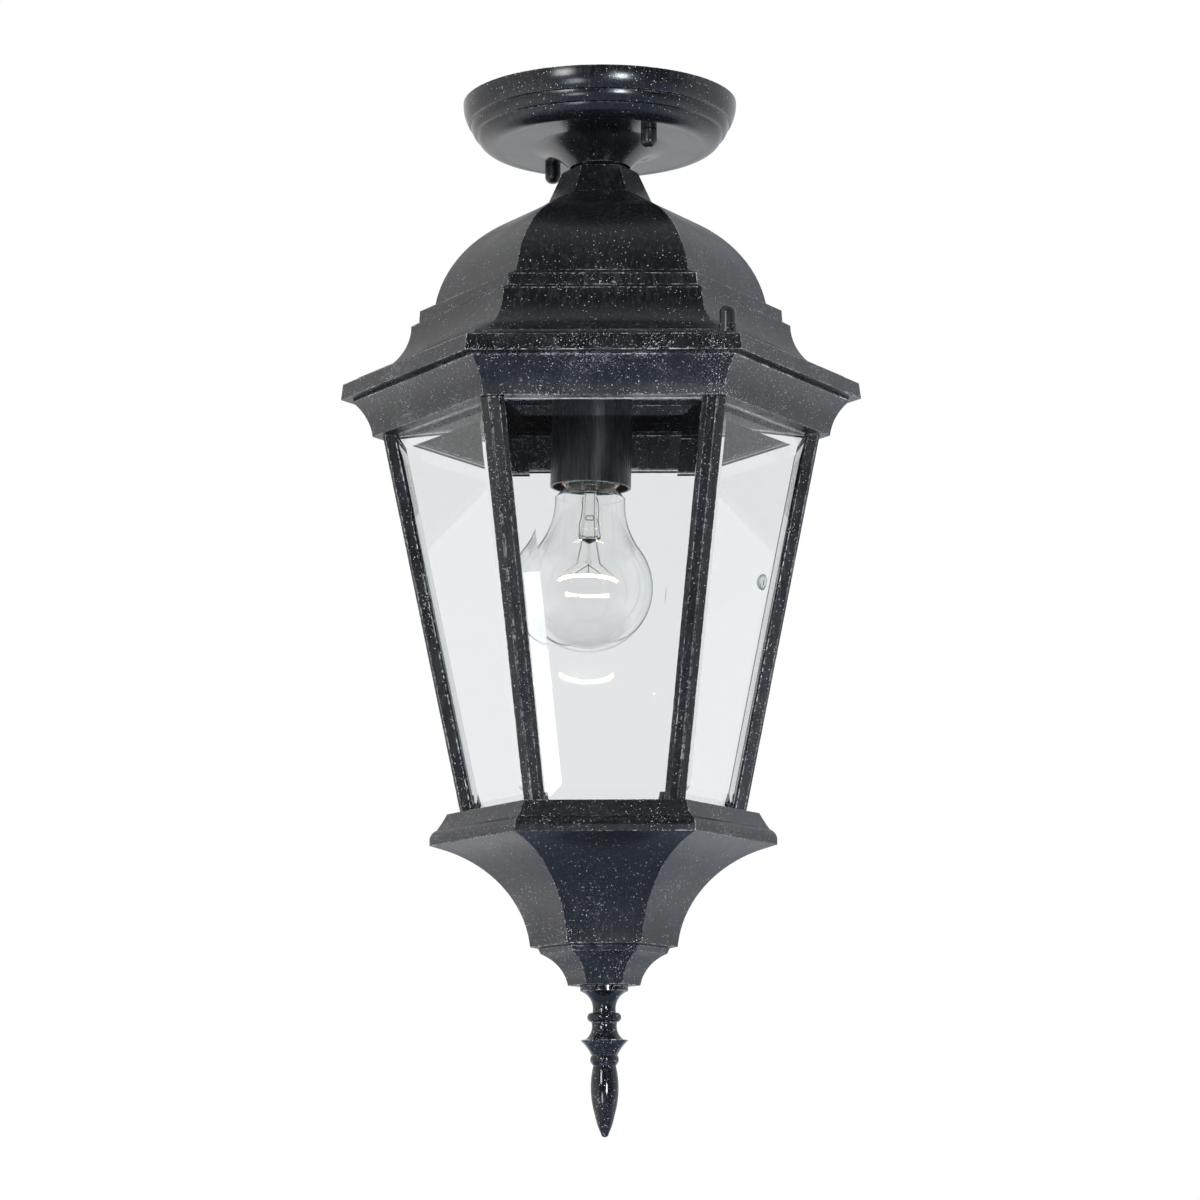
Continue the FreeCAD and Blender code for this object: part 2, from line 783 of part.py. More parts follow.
def pane_half_width(height):
    """Half the width of a pane at a height: it stops short of the posts' webs."""
    reach = web_half_w + glass_side_clear
    return 0.5 * post_ridge_r(height) - (glass_setback + 2 * reach) / (2 * FLAT)


def pane_corner(height, side, draw_in, depth):
    """Corner of the front pane, drawn in within its plane and set back from its outer face."""
    rise = draw_in * math.cos(pane_tilt)
    level = height - rise if height > (ring_foot + cup_top) / 2 else height + rise
    edge_lean = math.atan(0.5 * post_slope * math.cos(pane_tilt))
    x = pane_half_width(level) - draw_in / math.cos(edge_lean)
    y = -pane_out(level) + depth * math.cos(pane_tilt)
    return Vec(side * x, y, level + depth * math.sin(pane_tilt))


def pane_ring(top, foot, draw_in, depth):
    return [pane_corner(top, -1, draw_in, depth), pane_corner(top, 1, draw_in, depth),
            pane_corner(foot, 1, draw_in, depth), pane_corner(foot, -1, draw_in, depth)]


def skin(rings):
    """Solid with plane faces through a stack of four-cornered rings."""
    faces = [Part.Face(Part.makePolygon(ring + [ring[0]])) for ring in (rings[0], rings[-1])]
    for near, far in zip(rings, rings[1:]):
        for k in range(4):
            m = (k + 1) % 4
            faces.append(Part.Face(Part.makePolygon([near[k], near[m], far[m], far[k], near[k]])))
    solid = Part.Solid(Part.Shell(faces))
    if solid.Volume < 0:
        solid.reverse()
    return solid


def front_pane():
    top = ring_foot + glass_groove - glass_side_clear
    foot = cup_top - glass_groove + glass_side_clear
    return skin([
        pane_ring(top, foot, bevel_w, 0),
        pane_ring(top, foot, 0, glass_t - glass_edge_t),
        pane_ring(top, foot, 0, glass_t),
    ])


def front_groove():
    """Space that a pane's edge needs in the ring above and the cup below."""
    top = ring_foot + glass_groove
    foot = cup_top - glass_groove
    return skin([
        pane_ring(top, foot, -glass_side_clear, -glass_clear),
        pane_ring(top, foot, -glass_side_clear, glass_t + glass_clear),
    ])


def on_side(shape, k):
    """Turns a piece of the front side to side k."""
    copy = shape.copy()
    copy.rotate(ORIGIN, UP, 60 * k)
    return copy


def cage_top_ring():
    cove = ((ring_top_r - ring_cove_draw, ring_top - ring_cove_h), (ring_foot_r, ring_foot))
    ring = six_sided(section(scaled((ring_top_r, ring_top), FLAT), [scaled(cove, FLAT)]))
    ring = ring.cut(hexagon(ring_inner_r, ring_foot, ring_top))
    groove = front_groove()
    ring = ring.cut([on_side(groove, k) for k in range(SIDES)])
    for k in range(SIDES):
        x, y = around(top_screw_x, 60 * k)
        hole = rod(post_screw_r + screw_clear, ring_foot, ring_top, x, y)
        head_low = ring_top - post_screw_head_t
        recess = rod(post_screw_head_r + screw_clear, head_low, ring_top, x, y)
        ring = ring.cut([hole, recess])
    return ring


def cage_stud(angle):
    x, y = around(cage_stud_circle_r, angle)
    flange = rod(cage_stud_flange_r, ring_top, ring_top + cage_stud_flange_t, x, y)
    tip = nut_pad_face + seat_gap + nut_bore_h - stud_tip_gap
    return flange.fuse(rod(stud_r, ring_top, tip, x, y)).removeSplitter()


def post_outline(height, half_w):
    """Section of the +X post: vee face with a fine ridge, wings over the glass and a web between panes."""
    ridge = post_ridge_r(height)
    vee = math.tan(post_vee)
    half = [
        (ridge + post_ridge_t, 0.5 * post_ridge_w),
        (ridge - 0.5 * post_ridge_w * vee, post_ridge_w),
        (ridge - half_w * vee, half_w),
        (ridge - (wing_back + half_w / 2) / FLAT, half_w),
        (ridge - (wing_back + web_half_w / 2) / FLAT, web_half_w),
        (web_face_r(height), web_half_w - web_in / 2),
    ]
    other = [(x, -y) for x, y in reversed(half)]
    points = [Vec(x, y, height) for x, y in half + other]
    return Part.makePolygon(points + [points[0]])


def corner_post():
    rings = [post_outline(ring_foot, post_half_w_top), post_outline(cup_top, post_half_w_foot)]
    post = Part.makeLoft(rings, True, True)
    hole_r = post_screw_r + screw_clear
    post = post.cut(rod(hole_r, ring_foot - post_screw_bite, ring_foot, top_screw_x))
    post = post.cut(rod(hole_r, cup_top, cup_top + post_screw_bite, foot_screw_x))
    run_in = Vec(2 * screw_clear + clip_screw_r, 0, 0)
    depth = clip_screw_h + run_in.x
    return post.cut(Part.makeCylinder(clip_screw_r + screw_clear, depth, clip_face() - run_in, RIGHT))


def web_face_r(height):
    """Radius of the inner face of the post's web."""
    return post_ridge_r(height) - (wing_back + web_half_w / 2) / FLAT - web_in * FLAT


def clip_face():
    height = cup_top + clip_up
    return Vec(web_face_r(height), 0, height)


def clip_outline(height, reach, other_reach):
    """Bent strip behind the post's web, with a wing along the inside of each pane."""
    face = web_face_r(height) - web_clear
    bend = web_half_w - web_in / 2
    back_bend = bend - 0.5 * clip_t

    def wing(width, way):
        end = face - (width - bend) / (2 * FLAT)
        back = [(end - clip_t / FLAT, way * width), (face - clip_t, way * back_bend)]
        return [(face, way * bend), (end, way * width)] + back

    loop = wing(reach, -1) + wing(other_reach, 1)[::-1]
    points = [Vec(x, y, height) for x, y in loop]
    return Part.makePolygon(points + [points[0]])


def glass_clip():
    """Tongue screwed to the post above, with both wings at its foot."""
    low = cup_top + clip_foot_gap
    rings = [clip_outline(h, clip_reach, clip_short_reach) for h in (low, low + clip_wing_h)]
    wings = Part.makeLoft(rings, True, True)
    face_w = web_half_w - web_in / 2 + sliver
    top = cup_top + clip_up + clip_tongue
    tongue = Part.makeLoft([clip_outline(h, face_w, face_w) for h in (low, top)], True, True)
    start = clip_face() - Vec(3 * clip_t, 0, 0)
    hole = Part.makeCylinder(clip_screw_r + screw_clear, 6 * clip_t, start, RIGHT)
    return wings.fuse(tongue).cut(hole).removeSplitter()


def clip_screw():
    seat = clip_face() - Vec(clip_t + 2 * web_clear + clip_seat_gap, 0, 0)
    head_start = seat - Vec(clip_screw_head_t, 0, 0)
    head = Part.makeCylinder(clip_screw_head_r, clip_screw_head_t, head_start, RIGHT)
    shank = Part.makeCylinder(clip_screw_r, clip_screw_h, seat, RIGHT)
    return head.fuse(shank).removeSplitter()


def post_screw(x, face, way):
    """Pan screw into a post's end; it runs down from the ring (-1) or up from the cup (1)."""
    length = post_screw_bite - post_screw_tip_gap
    head = rod(post_screw_head_r, face - post_screw_head_t, face, x)
    if way < 0:
        shank = rod(post_screw_r, ring_foot - length, face, x)
    else:
        shank = rod(post_screw_r, face, cup_top + length, x)
    return head.fuse(shank).removeSplitter()


def all_round(shape):
    return Part.makeCompound([on_side(shape, k) for k in range(SIDES)])


# ---- bottom cup and finial ----
def cup_section(rise=0.0):
    """Outline of the cup: ogee, lip, funnel, band and cove. Its top may be raised."""
    ogee = (cup_ogee_r, cup_top - cup_ogee_h)
    lip = (cup_lip_r, cup_lip_top)
    hollow_via = (0.5 * (cup_top_r + cup_ogee_r) + cup_hollow[0], cup_top - cup_hollow[1] * cup_ogee_h)
    band_foot = (band_foot_r, band_top - band_h)
    steps = [
        (cup_top_r, cup_top),
        (hollow_via, ogee),
        (middle(ogee, lip, cup_swell), lip),
        (cup_lip_r, cup_lip_foot),
        (cup_under_r, funnel_top),
        ((funnel_mid_r, funnel_top - funnel_mid_h), (funnel_foot_r, funnel_foot)),
        (band_r, band_top),
        band_foot,
        ((cove_mid_r, band_foot[1] - cove_mid_h), (cove_foot_r, cup_foot)),
    ]
    return section(scaled((cup_top_r, cup_top + rise), FLAT), [scaled(step, FLAT) for step in steps])


def bottom_cup():
    cup = six_sided(cup_section(sliver)).common(rod(2 * cup_lip_r, cup_foot, cup_top))
    hollow = six_sided(inset(cup_section(2 * cup_wall), cup_wall))
    below_flange = rod(2 * cup_lip_r, cup_foot + cup_floor_h, cup_top - cup_flange_t)
    cup = cup.cut(hollow.common(below_flange))
    cup = cup.cut(hexagon(cup_flange_inner_r, cup_top - cup_flange_t, cup_top))
    groove = front_groove()
    cup = cup.cut([on_side(groove, k) for k in range(SIDES)])
    for k in range(SIDES):
        x, y = around(foot_screw_x, 60 * k)
        cup = cup.cut(rod(post_screw_r + screw_clear, cup_top - cup_flange_t, cup_top, x, y))
    return cup.cut(rod(stud_r + thread_clear, cup_foot, cup_foot + cup_floor_h))


def below_cup(point):
    """Place of an outline point of the finial, which hangs a seat's gap below the cup."""
    if isinstance(point[0], tuple):
        return tuple(below_cup(p) for p in point)
    return (point[0], cup_foot - seat_gap - point[1])


def finial():
    steps = [
        (finial_flange_r, finial_flange_t),
        (finial_neck_via, finial_neck),
        finial_bead_top,
        (finial_bead, finial_bead_foot),
        finial_waist,
        (finial_bell_via, finial_bell),
        finial_collar,
        (finial_cone_via, finial_cone),
        (finial_ball, finial_ball_foot),
        finial_drop_top,
        (finial_drop_belly, finial_drop_waist),
        (finial_point_via, finial_point),
        (finial_tip_via, finial_tip),
    ]
    body = lathe(below_cup((finial_flange_r, 0)), [below_cup(step) for step in steps])
    top = cup_foot - seat_gap
    return body.cut(rod(nut_bore_r, top - finial_stud_in - finial_bore_gap, top))


def finial_stud():
    high = cup_foot + cup_floor_h + finial_stud_up
    return rod(stud_r, cup_foot - seat_gap - finial_stud_in, high)


def finial_nut():
    low = cup_foot + cup_floor_h
    nut = hexagon(finial_nut_r, low, low + finial_nut_h)
    return nut.cut(rod(nut_bore_r, low, low + finial_nut_h))


def all_pieces():
    pieces = {
        "mounting_plate": mounting_plate(),
        "plate_stud_front": plate_stud(canopy_stud_angle),
        "plate_stud_back": plate_stud(opposite(canopy_stud_angle)),
        "ground_screw": ground_screw(),
        "canopy": canopy(),
        "canopy_cap_nut_front": canopy_cap_nut(canopy_stud_angle),
        "canopy_cap_nut_back": canopy_cap_nut(opposite(canopy_stud_angle)),
        "stem_nipple": stem_nipple(),
        "stem_washer_upper": washer(bell_foot + bell_floor_t),
        "stem_locknut_upper": locknut(bell_foot + bell_floor_t + washer_t),
        "stem_washer_lower": washer(bell_foot - neck_web_t - washer_t),
        "stem_locknut_lower": locknut(bell_foot - neck_web_t - washer_t - locknut_h),
        "roof": roof(),
        "roof_cap_nut_right": roof_cap_nut(cage_stud_angle),
        "roof_cap_nut_left": roof_cap_nut(opposite(cage_stud_angle)),
        "socket_cap": socket_cap(),
        "socket_body": socket_body(),
        "socket_core": socket_core(),
        "socket_shell": socket_shell(),
        "socket_contact": socket_contact(),
        "bulb_base": bulb_base(),
        "bulb_insulator": bulb_insulator(),
        "bulb_contact": bulb_contact(),
        "bulb_glass": bulb_glass(),
        "bulb_stem": bulb_stem(),
        "bulb_leads": bulb_leads(),
        "bulb_filament": bulb_filament(),
        "cage_top_ring": cage_top_ring(),
        "cage_stud_right": cage_stud(cage_stud_angle),
        "cage_stud_left": cage_stud(opposite(cage_stud_angle)),
        "post_screws_top": all_round(post_screw(top_screw_x, ring_top, -1)),
        "post_screws_foot": all_round(post_screw(foot_screw_x, cup_top - cup_flange_t, 1)),
        "bottom_cup": bottom_cup(),
        "finial_stud": finial_stud(),
        "finial_nut": finial_nut(),
        "finial": finial(),
    }
    repeated = {
        "corner_post": corner_post(),
        "glass_pane": front_pane(),
        "glass_clip": glass_clip(),
        "clip_screw": clip_screw(),
    }
    for name, shape in repeated.items():
        for k in range(SIDES):
            pieces["%s_%d" % (name, k + 1)] = on_side(shape, k)
    return pieces


def main():
    os.makedirs("parts", exist_ok=True)
    for name, shape in all_pieces().items():
        if not shape.isValid() or shape.Volume <= 0:
            raise RuntimeError("%s is not a sound solid" % name)
        shape.exportStep("parts/%s.step" % name)


main()
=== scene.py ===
"""Finishes, lamp detail and studio for the black hexagonal porch ceiling lantern.

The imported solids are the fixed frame. Metres; +Z is up out of the ceiling and the
front flat of the hexagon faces -Y.
"""

import math

import bpy
from mathutils import Matrix, Vector


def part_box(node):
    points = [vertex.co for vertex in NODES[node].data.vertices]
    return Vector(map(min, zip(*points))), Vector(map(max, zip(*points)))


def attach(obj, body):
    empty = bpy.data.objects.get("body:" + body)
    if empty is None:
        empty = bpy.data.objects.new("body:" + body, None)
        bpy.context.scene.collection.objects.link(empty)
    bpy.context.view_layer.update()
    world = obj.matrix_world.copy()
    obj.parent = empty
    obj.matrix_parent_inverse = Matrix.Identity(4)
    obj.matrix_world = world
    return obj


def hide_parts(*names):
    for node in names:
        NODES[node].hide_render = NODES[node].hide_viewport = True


bl_info = {
    "name": "Porch Lantern Finishes",
    "version": (1, 0, 0),
    "blender": (4, 5, 0),
    "location": "3D View > Sidebar > Lantern",
    "description": "Paints, glazes and lights a hexagonal porch ceiling lantern",
    "category": "Object",
}

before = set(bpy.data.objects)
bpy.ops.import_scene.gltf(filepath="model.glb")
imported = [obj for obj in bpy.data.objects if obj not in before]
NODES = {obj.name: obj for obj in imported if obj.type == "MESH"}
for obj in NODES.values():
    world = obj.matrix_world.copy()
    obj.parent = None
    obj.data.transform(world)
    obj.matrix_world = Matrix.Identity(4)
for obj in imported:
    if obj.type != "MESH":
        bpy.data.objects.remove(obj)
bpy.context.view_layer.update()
SIDES = 6
MM = 0.001

# Density of the flecks down the lantern: height in mm and share of the fullest
FLECK_HEIGHTS = (
    (0, 0.75), (-12, 0.40), (-22, 0.22), (-33, 0.12), (-36, 0.20), (-52, 0.08), (-74, 0.10),
    (-92, 0.45), (-97, 0.60), (-112, 0.65), (-122, 0.40), (-138, 0.55), (-142, 0.80),
    (-151, 0.95), (-160, 0.75), (-169, 1.00), (-175, 0.85), (-350, 0.85), (-357, 0.55),
    (-364, 0.90), (-372, 0.95), (-375, 0.35), (-388, 0.60), (-396, 1.00), (-416, 0.90),
    (-440, 0.70), (-455, 0.60), (-512, 0.80),
)
LANTERN_HEIGHT = 520 * MM

# The bulb hangs a little askew: its axis leans about a point below the ceiling
LAMP_LEAN = math.radians(1.8)
LEAN_POINT = Vector((0.0, 0.0, -20 * MM))
FILAMENT_HALF = 14 * MM
FILAMENT_BOW = 10 * MM
FILAMENT_DEPTH = 241.4 * MM
FILAMENT_RISE = 0.8 * MM

# Lead-in wires: where they stand beside the stem, in mm along the upright bulb
LEAD_POINTS = 24
LEAD_FOOT = -221.2
LEAD_RUN = 21
LEAD_RADIUS = 0.24 * MM

# Pressed foot of the glass stem and the eye where the supports are held, in mm
SEAM_POINTS = 48
SEAM_HALF = (4.95, 3.6)
SEAM_LEVEL = -220.6
EYE_POINTS = 24
EYE_CENTRE = (-3.1, -211)
EYE_HALF = (1.9, 1.3)

# Painted glint and painted shadow strips along the top of the panes, measured down from the pane's
# top
FRONT_EDGE_DROP = 1.3 * MM
BACK_EDGE_DROP = 2.1 * MM
EDGE_GAP = 0.05 * MM
EDGE_SIZE = 0.9 * MM
EDGE_THICK_SHARE = 0.4
EDGE_MARGIN = 1.5 * MM
BACK_PANES = (2, 3, 4)

# Clear dot stuck to one pane
BUMPER_R = 4.0 * MM
BUMPER_H = 2.8 * MM
BUMPER_DOWN = 79 * MM
BUMPER_ALONG = 25 * MM


def numbered(name):
    return [f"{name}_{k + 1}" for k in range(SIDES)]


# ---------------------------------------------------------------- settings


class LanternPaintSettings(bpy.types.PropertyGroup):
    """Flecked black paint of the castings."""

    paint_colour: bpy.props.FloatVectorProperty(
        name="Paint colour",
        description="Black ground of the castings",
        subtype="COLOR",
        size=4,
        min=0.0,
        max=1.0,
        default=(0.0036, 0.0042, 0.0058, 1.0),
    )
    fleck_colour: bpy.props.FloatVectorProperty(
        name="Fleck colour",
        description="Silver of the flecks and of the worn edges",
        subtype="COLOR",
        size=4,
        min=0.0,
        max=1.0,
        default=(0.74, 0.76, 0.80, 1.0),
    )
    fleck_share: bpy.props.FloatProperty(
        name="Fleck share",
        description="How thickly the flecks lie where they are thickest",
        min=0.0,
        max=1.0,
        default=0.50,
    )
    fleck_cell: bpy.props.FloatProperty(
        name="Fleck size",
        description="Grain of the flecks",
        unit="LENGTH",
        min=0.0002,
        max=0.01,
        default=0.00055,
    )
    wear_width: bpy.props.FloatProperty(
        name="Wear width",
        description="Width of the silver line along the casting edges",
        unit="LENGTH",
        min=0.0,
        max=0.005,
        default=0.0008,
    )
    roughness: bpy.props.FloatProperty(
        name="Roughness",
        description="Mean roughness of the satin black",
        min=0.0,
        max=1.0,
        default=0.27,
    )


class LanternGlassSettings(bpy.types.PropertyGroup):
    """Panes and bulb."""

    pane_tint: bpy.props.FloatVectorProperty(
        name="Pane tint",
        description="Tint of the clear bevelled panes",
        subtype="COLOR",
        size=4,
        min=0.0,
        max=1.0,
        default=(0.940, 0.953, 0.958, 1.0),
    )
    bulb_tint: bpy.props.FloatVectorProperty(
        name="Bulb tint",
        description="Tint of the bulb's thin glass",
        subtype="COLOR",
        size=4,
        min=0.0,
        max=1.0,
        default=(0.985, 0.99, 0.985, 1.0),
    )
    smudge: bpy.props.FloatProperty(
        name="Smudge",
        description="How much the faint wiping marks roughen the glass",
        min=0.0,
        max=0.3,
        default=0.02,
    )


class LanternLampSettings(bpy.types.PropertyGroup):
    """Lit filament."""

    coil_radius: bpy.props.FloatProperty(
        name="Coil radius",
        description="Radius of the filament's coil",
        unit="LENGTH",
        min=0.0001,
        max=0.002,
        default=0.00060,
    )
    wire_radius: bpy.props.FloatProperty(
        name="Wire radius",
        description="Radius of the wire that the filament is wound from",
        unit="LENGTH",
        min=0.00002,
        max=0.0005,
        default=0.00014,
    )
    pitch: bpy.props.FloatProperty(
        name="Pitch",
        description="Distance between two turns of the coil",
        unit="LENGTH",
        min=0.0002,
        max=0.003,
        default=0.00055,
    )
    glow_colour: bpy.props.FloatVectorProperty(
        name="Glow colour",
        description="Colour of the hot filament",
        subtype="COLOR",
        size=4,
        min=0.0,
        max=1.0,
        default=(1.0, 0.80, 0.55, 1.0),
    )
    glow: bpy.props.FloatProperty(
        name="Glow",
        description="Emission strength of the filament",
        min=0.0,
        max=500.0,
        default=34.0,
    )
    lamp_power: bpy.props.FloatProperty(
        name="Lamp power",
        description="Light that the filament gives to the parts around it",
        unit="POWER",
        min=0.0,
        max=20.0,
        default=0.10,
    )


class LanternStageSettings(bpy.types.PropertyGroup):
    """Camera, floor, lamps and surroundings."""

    target: bpy.props.FloatVectorProperty(
        name="Target",
        description="Point that the camera looks at",
        subtype="TRANSLATION",
        unit="LENGTH",
        default=(-0.0011, 0.0, -0.2510),
    )
    distance: bpy.props.FloatProperty(
        name="Camera distance",
        description="Distance from the camera to its target",
        unit="LENGTH",
        min=0.1,
        default=1.8431,
    )
    elevation: bpy.props.FloatProperty(
        name="Camera elevation",
        description="Height angle of the camera; negative looks up",
        subtype="ANGLE",
        default=math.radians(-9.093),
    )
    azimuth: bpy.props.FloatProperty(
        name="Camera azimuth",
        description="Turn of the camera round the lantern, from the front",
        subtype="ANGLE",
        default=math.radians(-0.586),
    )
    roll: bpy.props.FloatProperty(
        name="Camera roll",
        description="Turn of the picture about the line of sight",
        subtype="ANGLE",
        default=-0.00483,
    )
    lens: bpy.props.FloatProperty(
        name="Lens",
        description="Focal length on a 36 mm sensor",
        unit="CAMERA",
        min=1.0,
        default=112.81,
    )
    floor_height: bpy.props.FloatProperty(
        name="Floor height",
        description="Height of the pale floor, below the ceiling plane",
        unit="LENGTH",
        default=-0.90,
    )
    floor_colour: bpy.props.FloatVectorProperty(
        name="Floor colour",
        description="Pale floor below the lantern",
        subtype="COLOR",
        size=4,
        min=0.0,
        max=1.0,
        default=(0.86, 0.87, 0.88, 1.0),
    )
    room_level: bpy.props.FloatProperty(
        name="Room level",
        description="Even light of the white room on the lantern",
        min=0.0,
        max=4.0,
        default=0.60,
    )
    front_level: bpy.props.FloatProperty(
        name="Front level",
        description="What polished parts mirror from the dark side behind the camera",
        min=0.0,
        max=1.0,
        default=0.03,
    )
    # Painted reflection: polished parts see the floor in this bluish darker tone instead of its
    # own colour
    floor_reflection_tone: bpy.props.FloatVectorProperty(
        name="Floor in polish",
        description="Tone that the floor has in what polished parts mirror",
        subtype="COLOR",
        size=4,
        min=0.0,
        max=1.0,
        default=(0.42, 0.52, 0.72, 1.0),
    )
    left_power: bpy.props.FloatProperty(
        name="Left lamp",
        description="Power of the broad soft lamp on the left",
        unit="POWER",
        min=0.0,
        default=21.0,
    )
    right_power: bpy.props.FloatProperty(
        name="Right lamp",
        description="Power of the narrow lamp on the right",
        unit="POWER",
        min=0.0,
        default=29.0,
    )
    low_power: bpy.props.FloatProperty(
        name="Low lamp",
        description="Power of the bluish lamp low on the left",
        unit="POWER",
        min=0.0,
        default=6.0,
    )


# ---------------------------------------------------------------- node helpers


def add(tree, kind, settings=None, **inputs):
    """Adds a node. Inputs are given by socket name with _ for a blank, as a value or a socket."""
    made = tree.nodes.new(kind)
    for name, value in (settings or {}).items():
        setattr(made, name, value)
    for name, value in inputs.items():
        socket = made.inputs[int(name[1:])] if name[0] == "i" and name[1:].isdigit() else (
            made.inputs[name.replace("_", " ")]
        )
        if isinstance(value, bpy.types.NodeSocket):
            tree.links.new(value, socket)
        else:
            socket.default_value = value
    return made


def maths(tree, operation, a, b=0.0, clamp=False):
    made = add(tree, "ShaderNodeMath", {"operation": operation, "use_clamp": clamp}, i0=a, i1=b)
    return made.outputs[0]


def vector_maths(tree, operation, a, b=(0.0, 0.0, 0.0), output=0):
    made = add(tree, "ShaderNodeVectorMath", {"operation": operation}, i0=a, i1=b)
    return made.outputs[output]


def ramp(tree, value, low, high, to_low=0.0, to_high=1.0, smooth=False):
    kind = "SMOOTHSTEP" if smooth else "LINEAR"
    made = add(
        tree,
        "ShaderNodeMapRange",
        {"interpolation_type": kind, "clamp": True},
        Value=value,
        From_Min=low,
        From_Max=high,
        To_Min=to_low,
        To_Max=to_high,
    )
    return made.outputs["Result"]


def blend(tree, share, a, b):
    """Mix of two colours."""
    made = tree.nodes.new("ShaderNodeMix")
    made.data_type = "RGBA"
    for socket, value in ((made.inputs[0], share), (made.inputs[6], a), (made.inputs[7], b)):
        if isinstance(value, bpy.types.NodeSocket):
            tree.links.new(value, socket)
        else:
            socket.default_value = value
    return made.outputs[2]


def noise(tree, where, scale, detail=2.0, rough=0.5, output="Fac"):
    made = add(
        tree, "ShaderNodeTexNoise", Vector=where, Scale=scale, Detail=detail, Roughness=rough
    )
    return made.outputs[output]


def place(tree):
    return tree.nodes.new("ShaderNodeTexCoord").outputs["Object"]


def stretched(tree, where, scale):
    return add(tree, "ShaderNodeMapping", Vector=where, Scale=scale).outputs[0]


def bumped(tree, height, strength, distance, normal=None):
    inputs = {"Strength": strength, "Distance": distance, "Height": height}
    if normal is not None:
        inputs["Normal"] = normal
    return add(tree, "ShaderNodeBump", **inputs).outputs[0]


def new_material(name):
    """An empty node material with its surface shader and output joined."""
    made = bpy.data.materials.new(name)
    made.use_nodes = True
    tree = made.node_tree
    tree.nodes.clear()
    shader = tree.nodes.new("ShaderNodeBsdfPrincipled")
    output = tree.nodes.new("ShaderNodeOutputMaterial")
    tree.links.new(shader.outputs[0], output.inputs[0])
    return made, tree, shader, output


def join(tree, shader, **inputs):
    for name, value in inputs.items():
        socket = shader.inputs[name.replace("_", " ")]
        if isinstance(value, bpy.types.NodeSocket):
            tree.links.new(value, socket)
        else:
            socket.default_value = value


# ---------------------------------------------------------------- finishes


def edge_line(tree, width, low, high):
    """1 along the outward edges of a casting and 0 elsewhere."""
    rounded = add(tree, "ShaderNodeBevel", {"samples": 6}, Radius=width).outputs[0]
    true = tree.nodes.new("ShaderNodeNewGeometry").outputs["True Normal"]
    facing = vector_maths(tree, "DOT_PRODUCT", rounded, true, output="Value")
    turned = maths(tree, "SUBTRACT", 1.0, facing)
    open_side = add(
        tree,
        "ShaderNodeAmbientOcclusion",
        {"samples": 6, "only_local": True},
        Distance=2.5 * width,
    ).outputs["AO"]
    outward = ramp(tree, open_side, 0.55, 0.85)
    return maths(tree, "MULTIPLY", ramp(tree, turned, low, high), outward)


def fine_grit(tree, where, cell, share):
    """Irregular grains that thicken with the share."""
    grains = noise(tree, where, 1.0 / cell, 3.0, 0.75)
    start = ramp(tree, share, 0.0, 1.0, 0.730, 0.545)
    return ramp(tree, maths(tree, "SUBTRACT", grains, start), 0.0, 0.030)


def bright_specks(tree, where, cell, share, size):
    """Single bright specks: a share of the cells of a warped cell pattern."""
    warp = noise(tree, where, 1.3 / cell, 1.0, output="Color")
    warp = vector_maths(tree, "SUBTRACT", warp, (0.5, 0.5, 0.5))
    warp = vector_maths(tree, "MULTIPLY", warp, (0.5 * cell, 0.5 * cell, 0.5 * cell))
    cells = add(
        tree,
        "ShaderNodeTexVoronoi",
        Vector=vector_maths(tree, "ADD", where, warp),
        Scale=1.0 / cell,
    )
    chance = add(tree, "ShaderNodeSeparateColor", Color=cells.outputs["Color"])
    lucky = maths(tree, "LESS_THAN", chance.outputs[0], share)
    reach = ramp(tree, chance.outputs[1], 0.0, 1.0, 0.5 * size, size)
    inside = maths(tree, "SUBTRACT", reach, cells.outputs["Distance"])
    return maths(tree, "MULTIPLY", ramp(tree, inside, 0.0, 0.08), lucky)


def fleck_density(tree, where):
    """Share of flecks that each height of the lantern carries, in drifting patches."""
    height = add(tree, "ShaderNodeSeparateXYZ", Vector=where).outputs[2]
    drift = noise(tree, where, 60.0, 2.0)
    shifted = maths(tree, "ADD", height, ramp(tree, drift, 0.3, 0.7, -0.002, 0.002))
    profile = tree.nodes.new("ShaderNodeValToRGB")
    stops = profile.color_ramp.elements
    stops.remove(stops[1])
    for k, (level, share) in enumerate(reversed(FLECK_HEIGHTS)):
        at = 1 + level * MM / LANTERN_HEIGHT
        stop = stops.new(at) if k else stops[0]
        stop.position = at
        stop.color = (share, share, share, 1.0)
    tree.links.new(ramp(tree, shifted, -LANTERN_HEIGHT, 0.0), profile.inputs[0])
    patches = noise(tree, where, 34.0, 4.0, 0.65)
    cloud = ramp(tree, patches, 0.34, 0.66, 0.25, 1.5)
    return maths(tree, "MULTIPLY", profile.outputs[0], cloud)


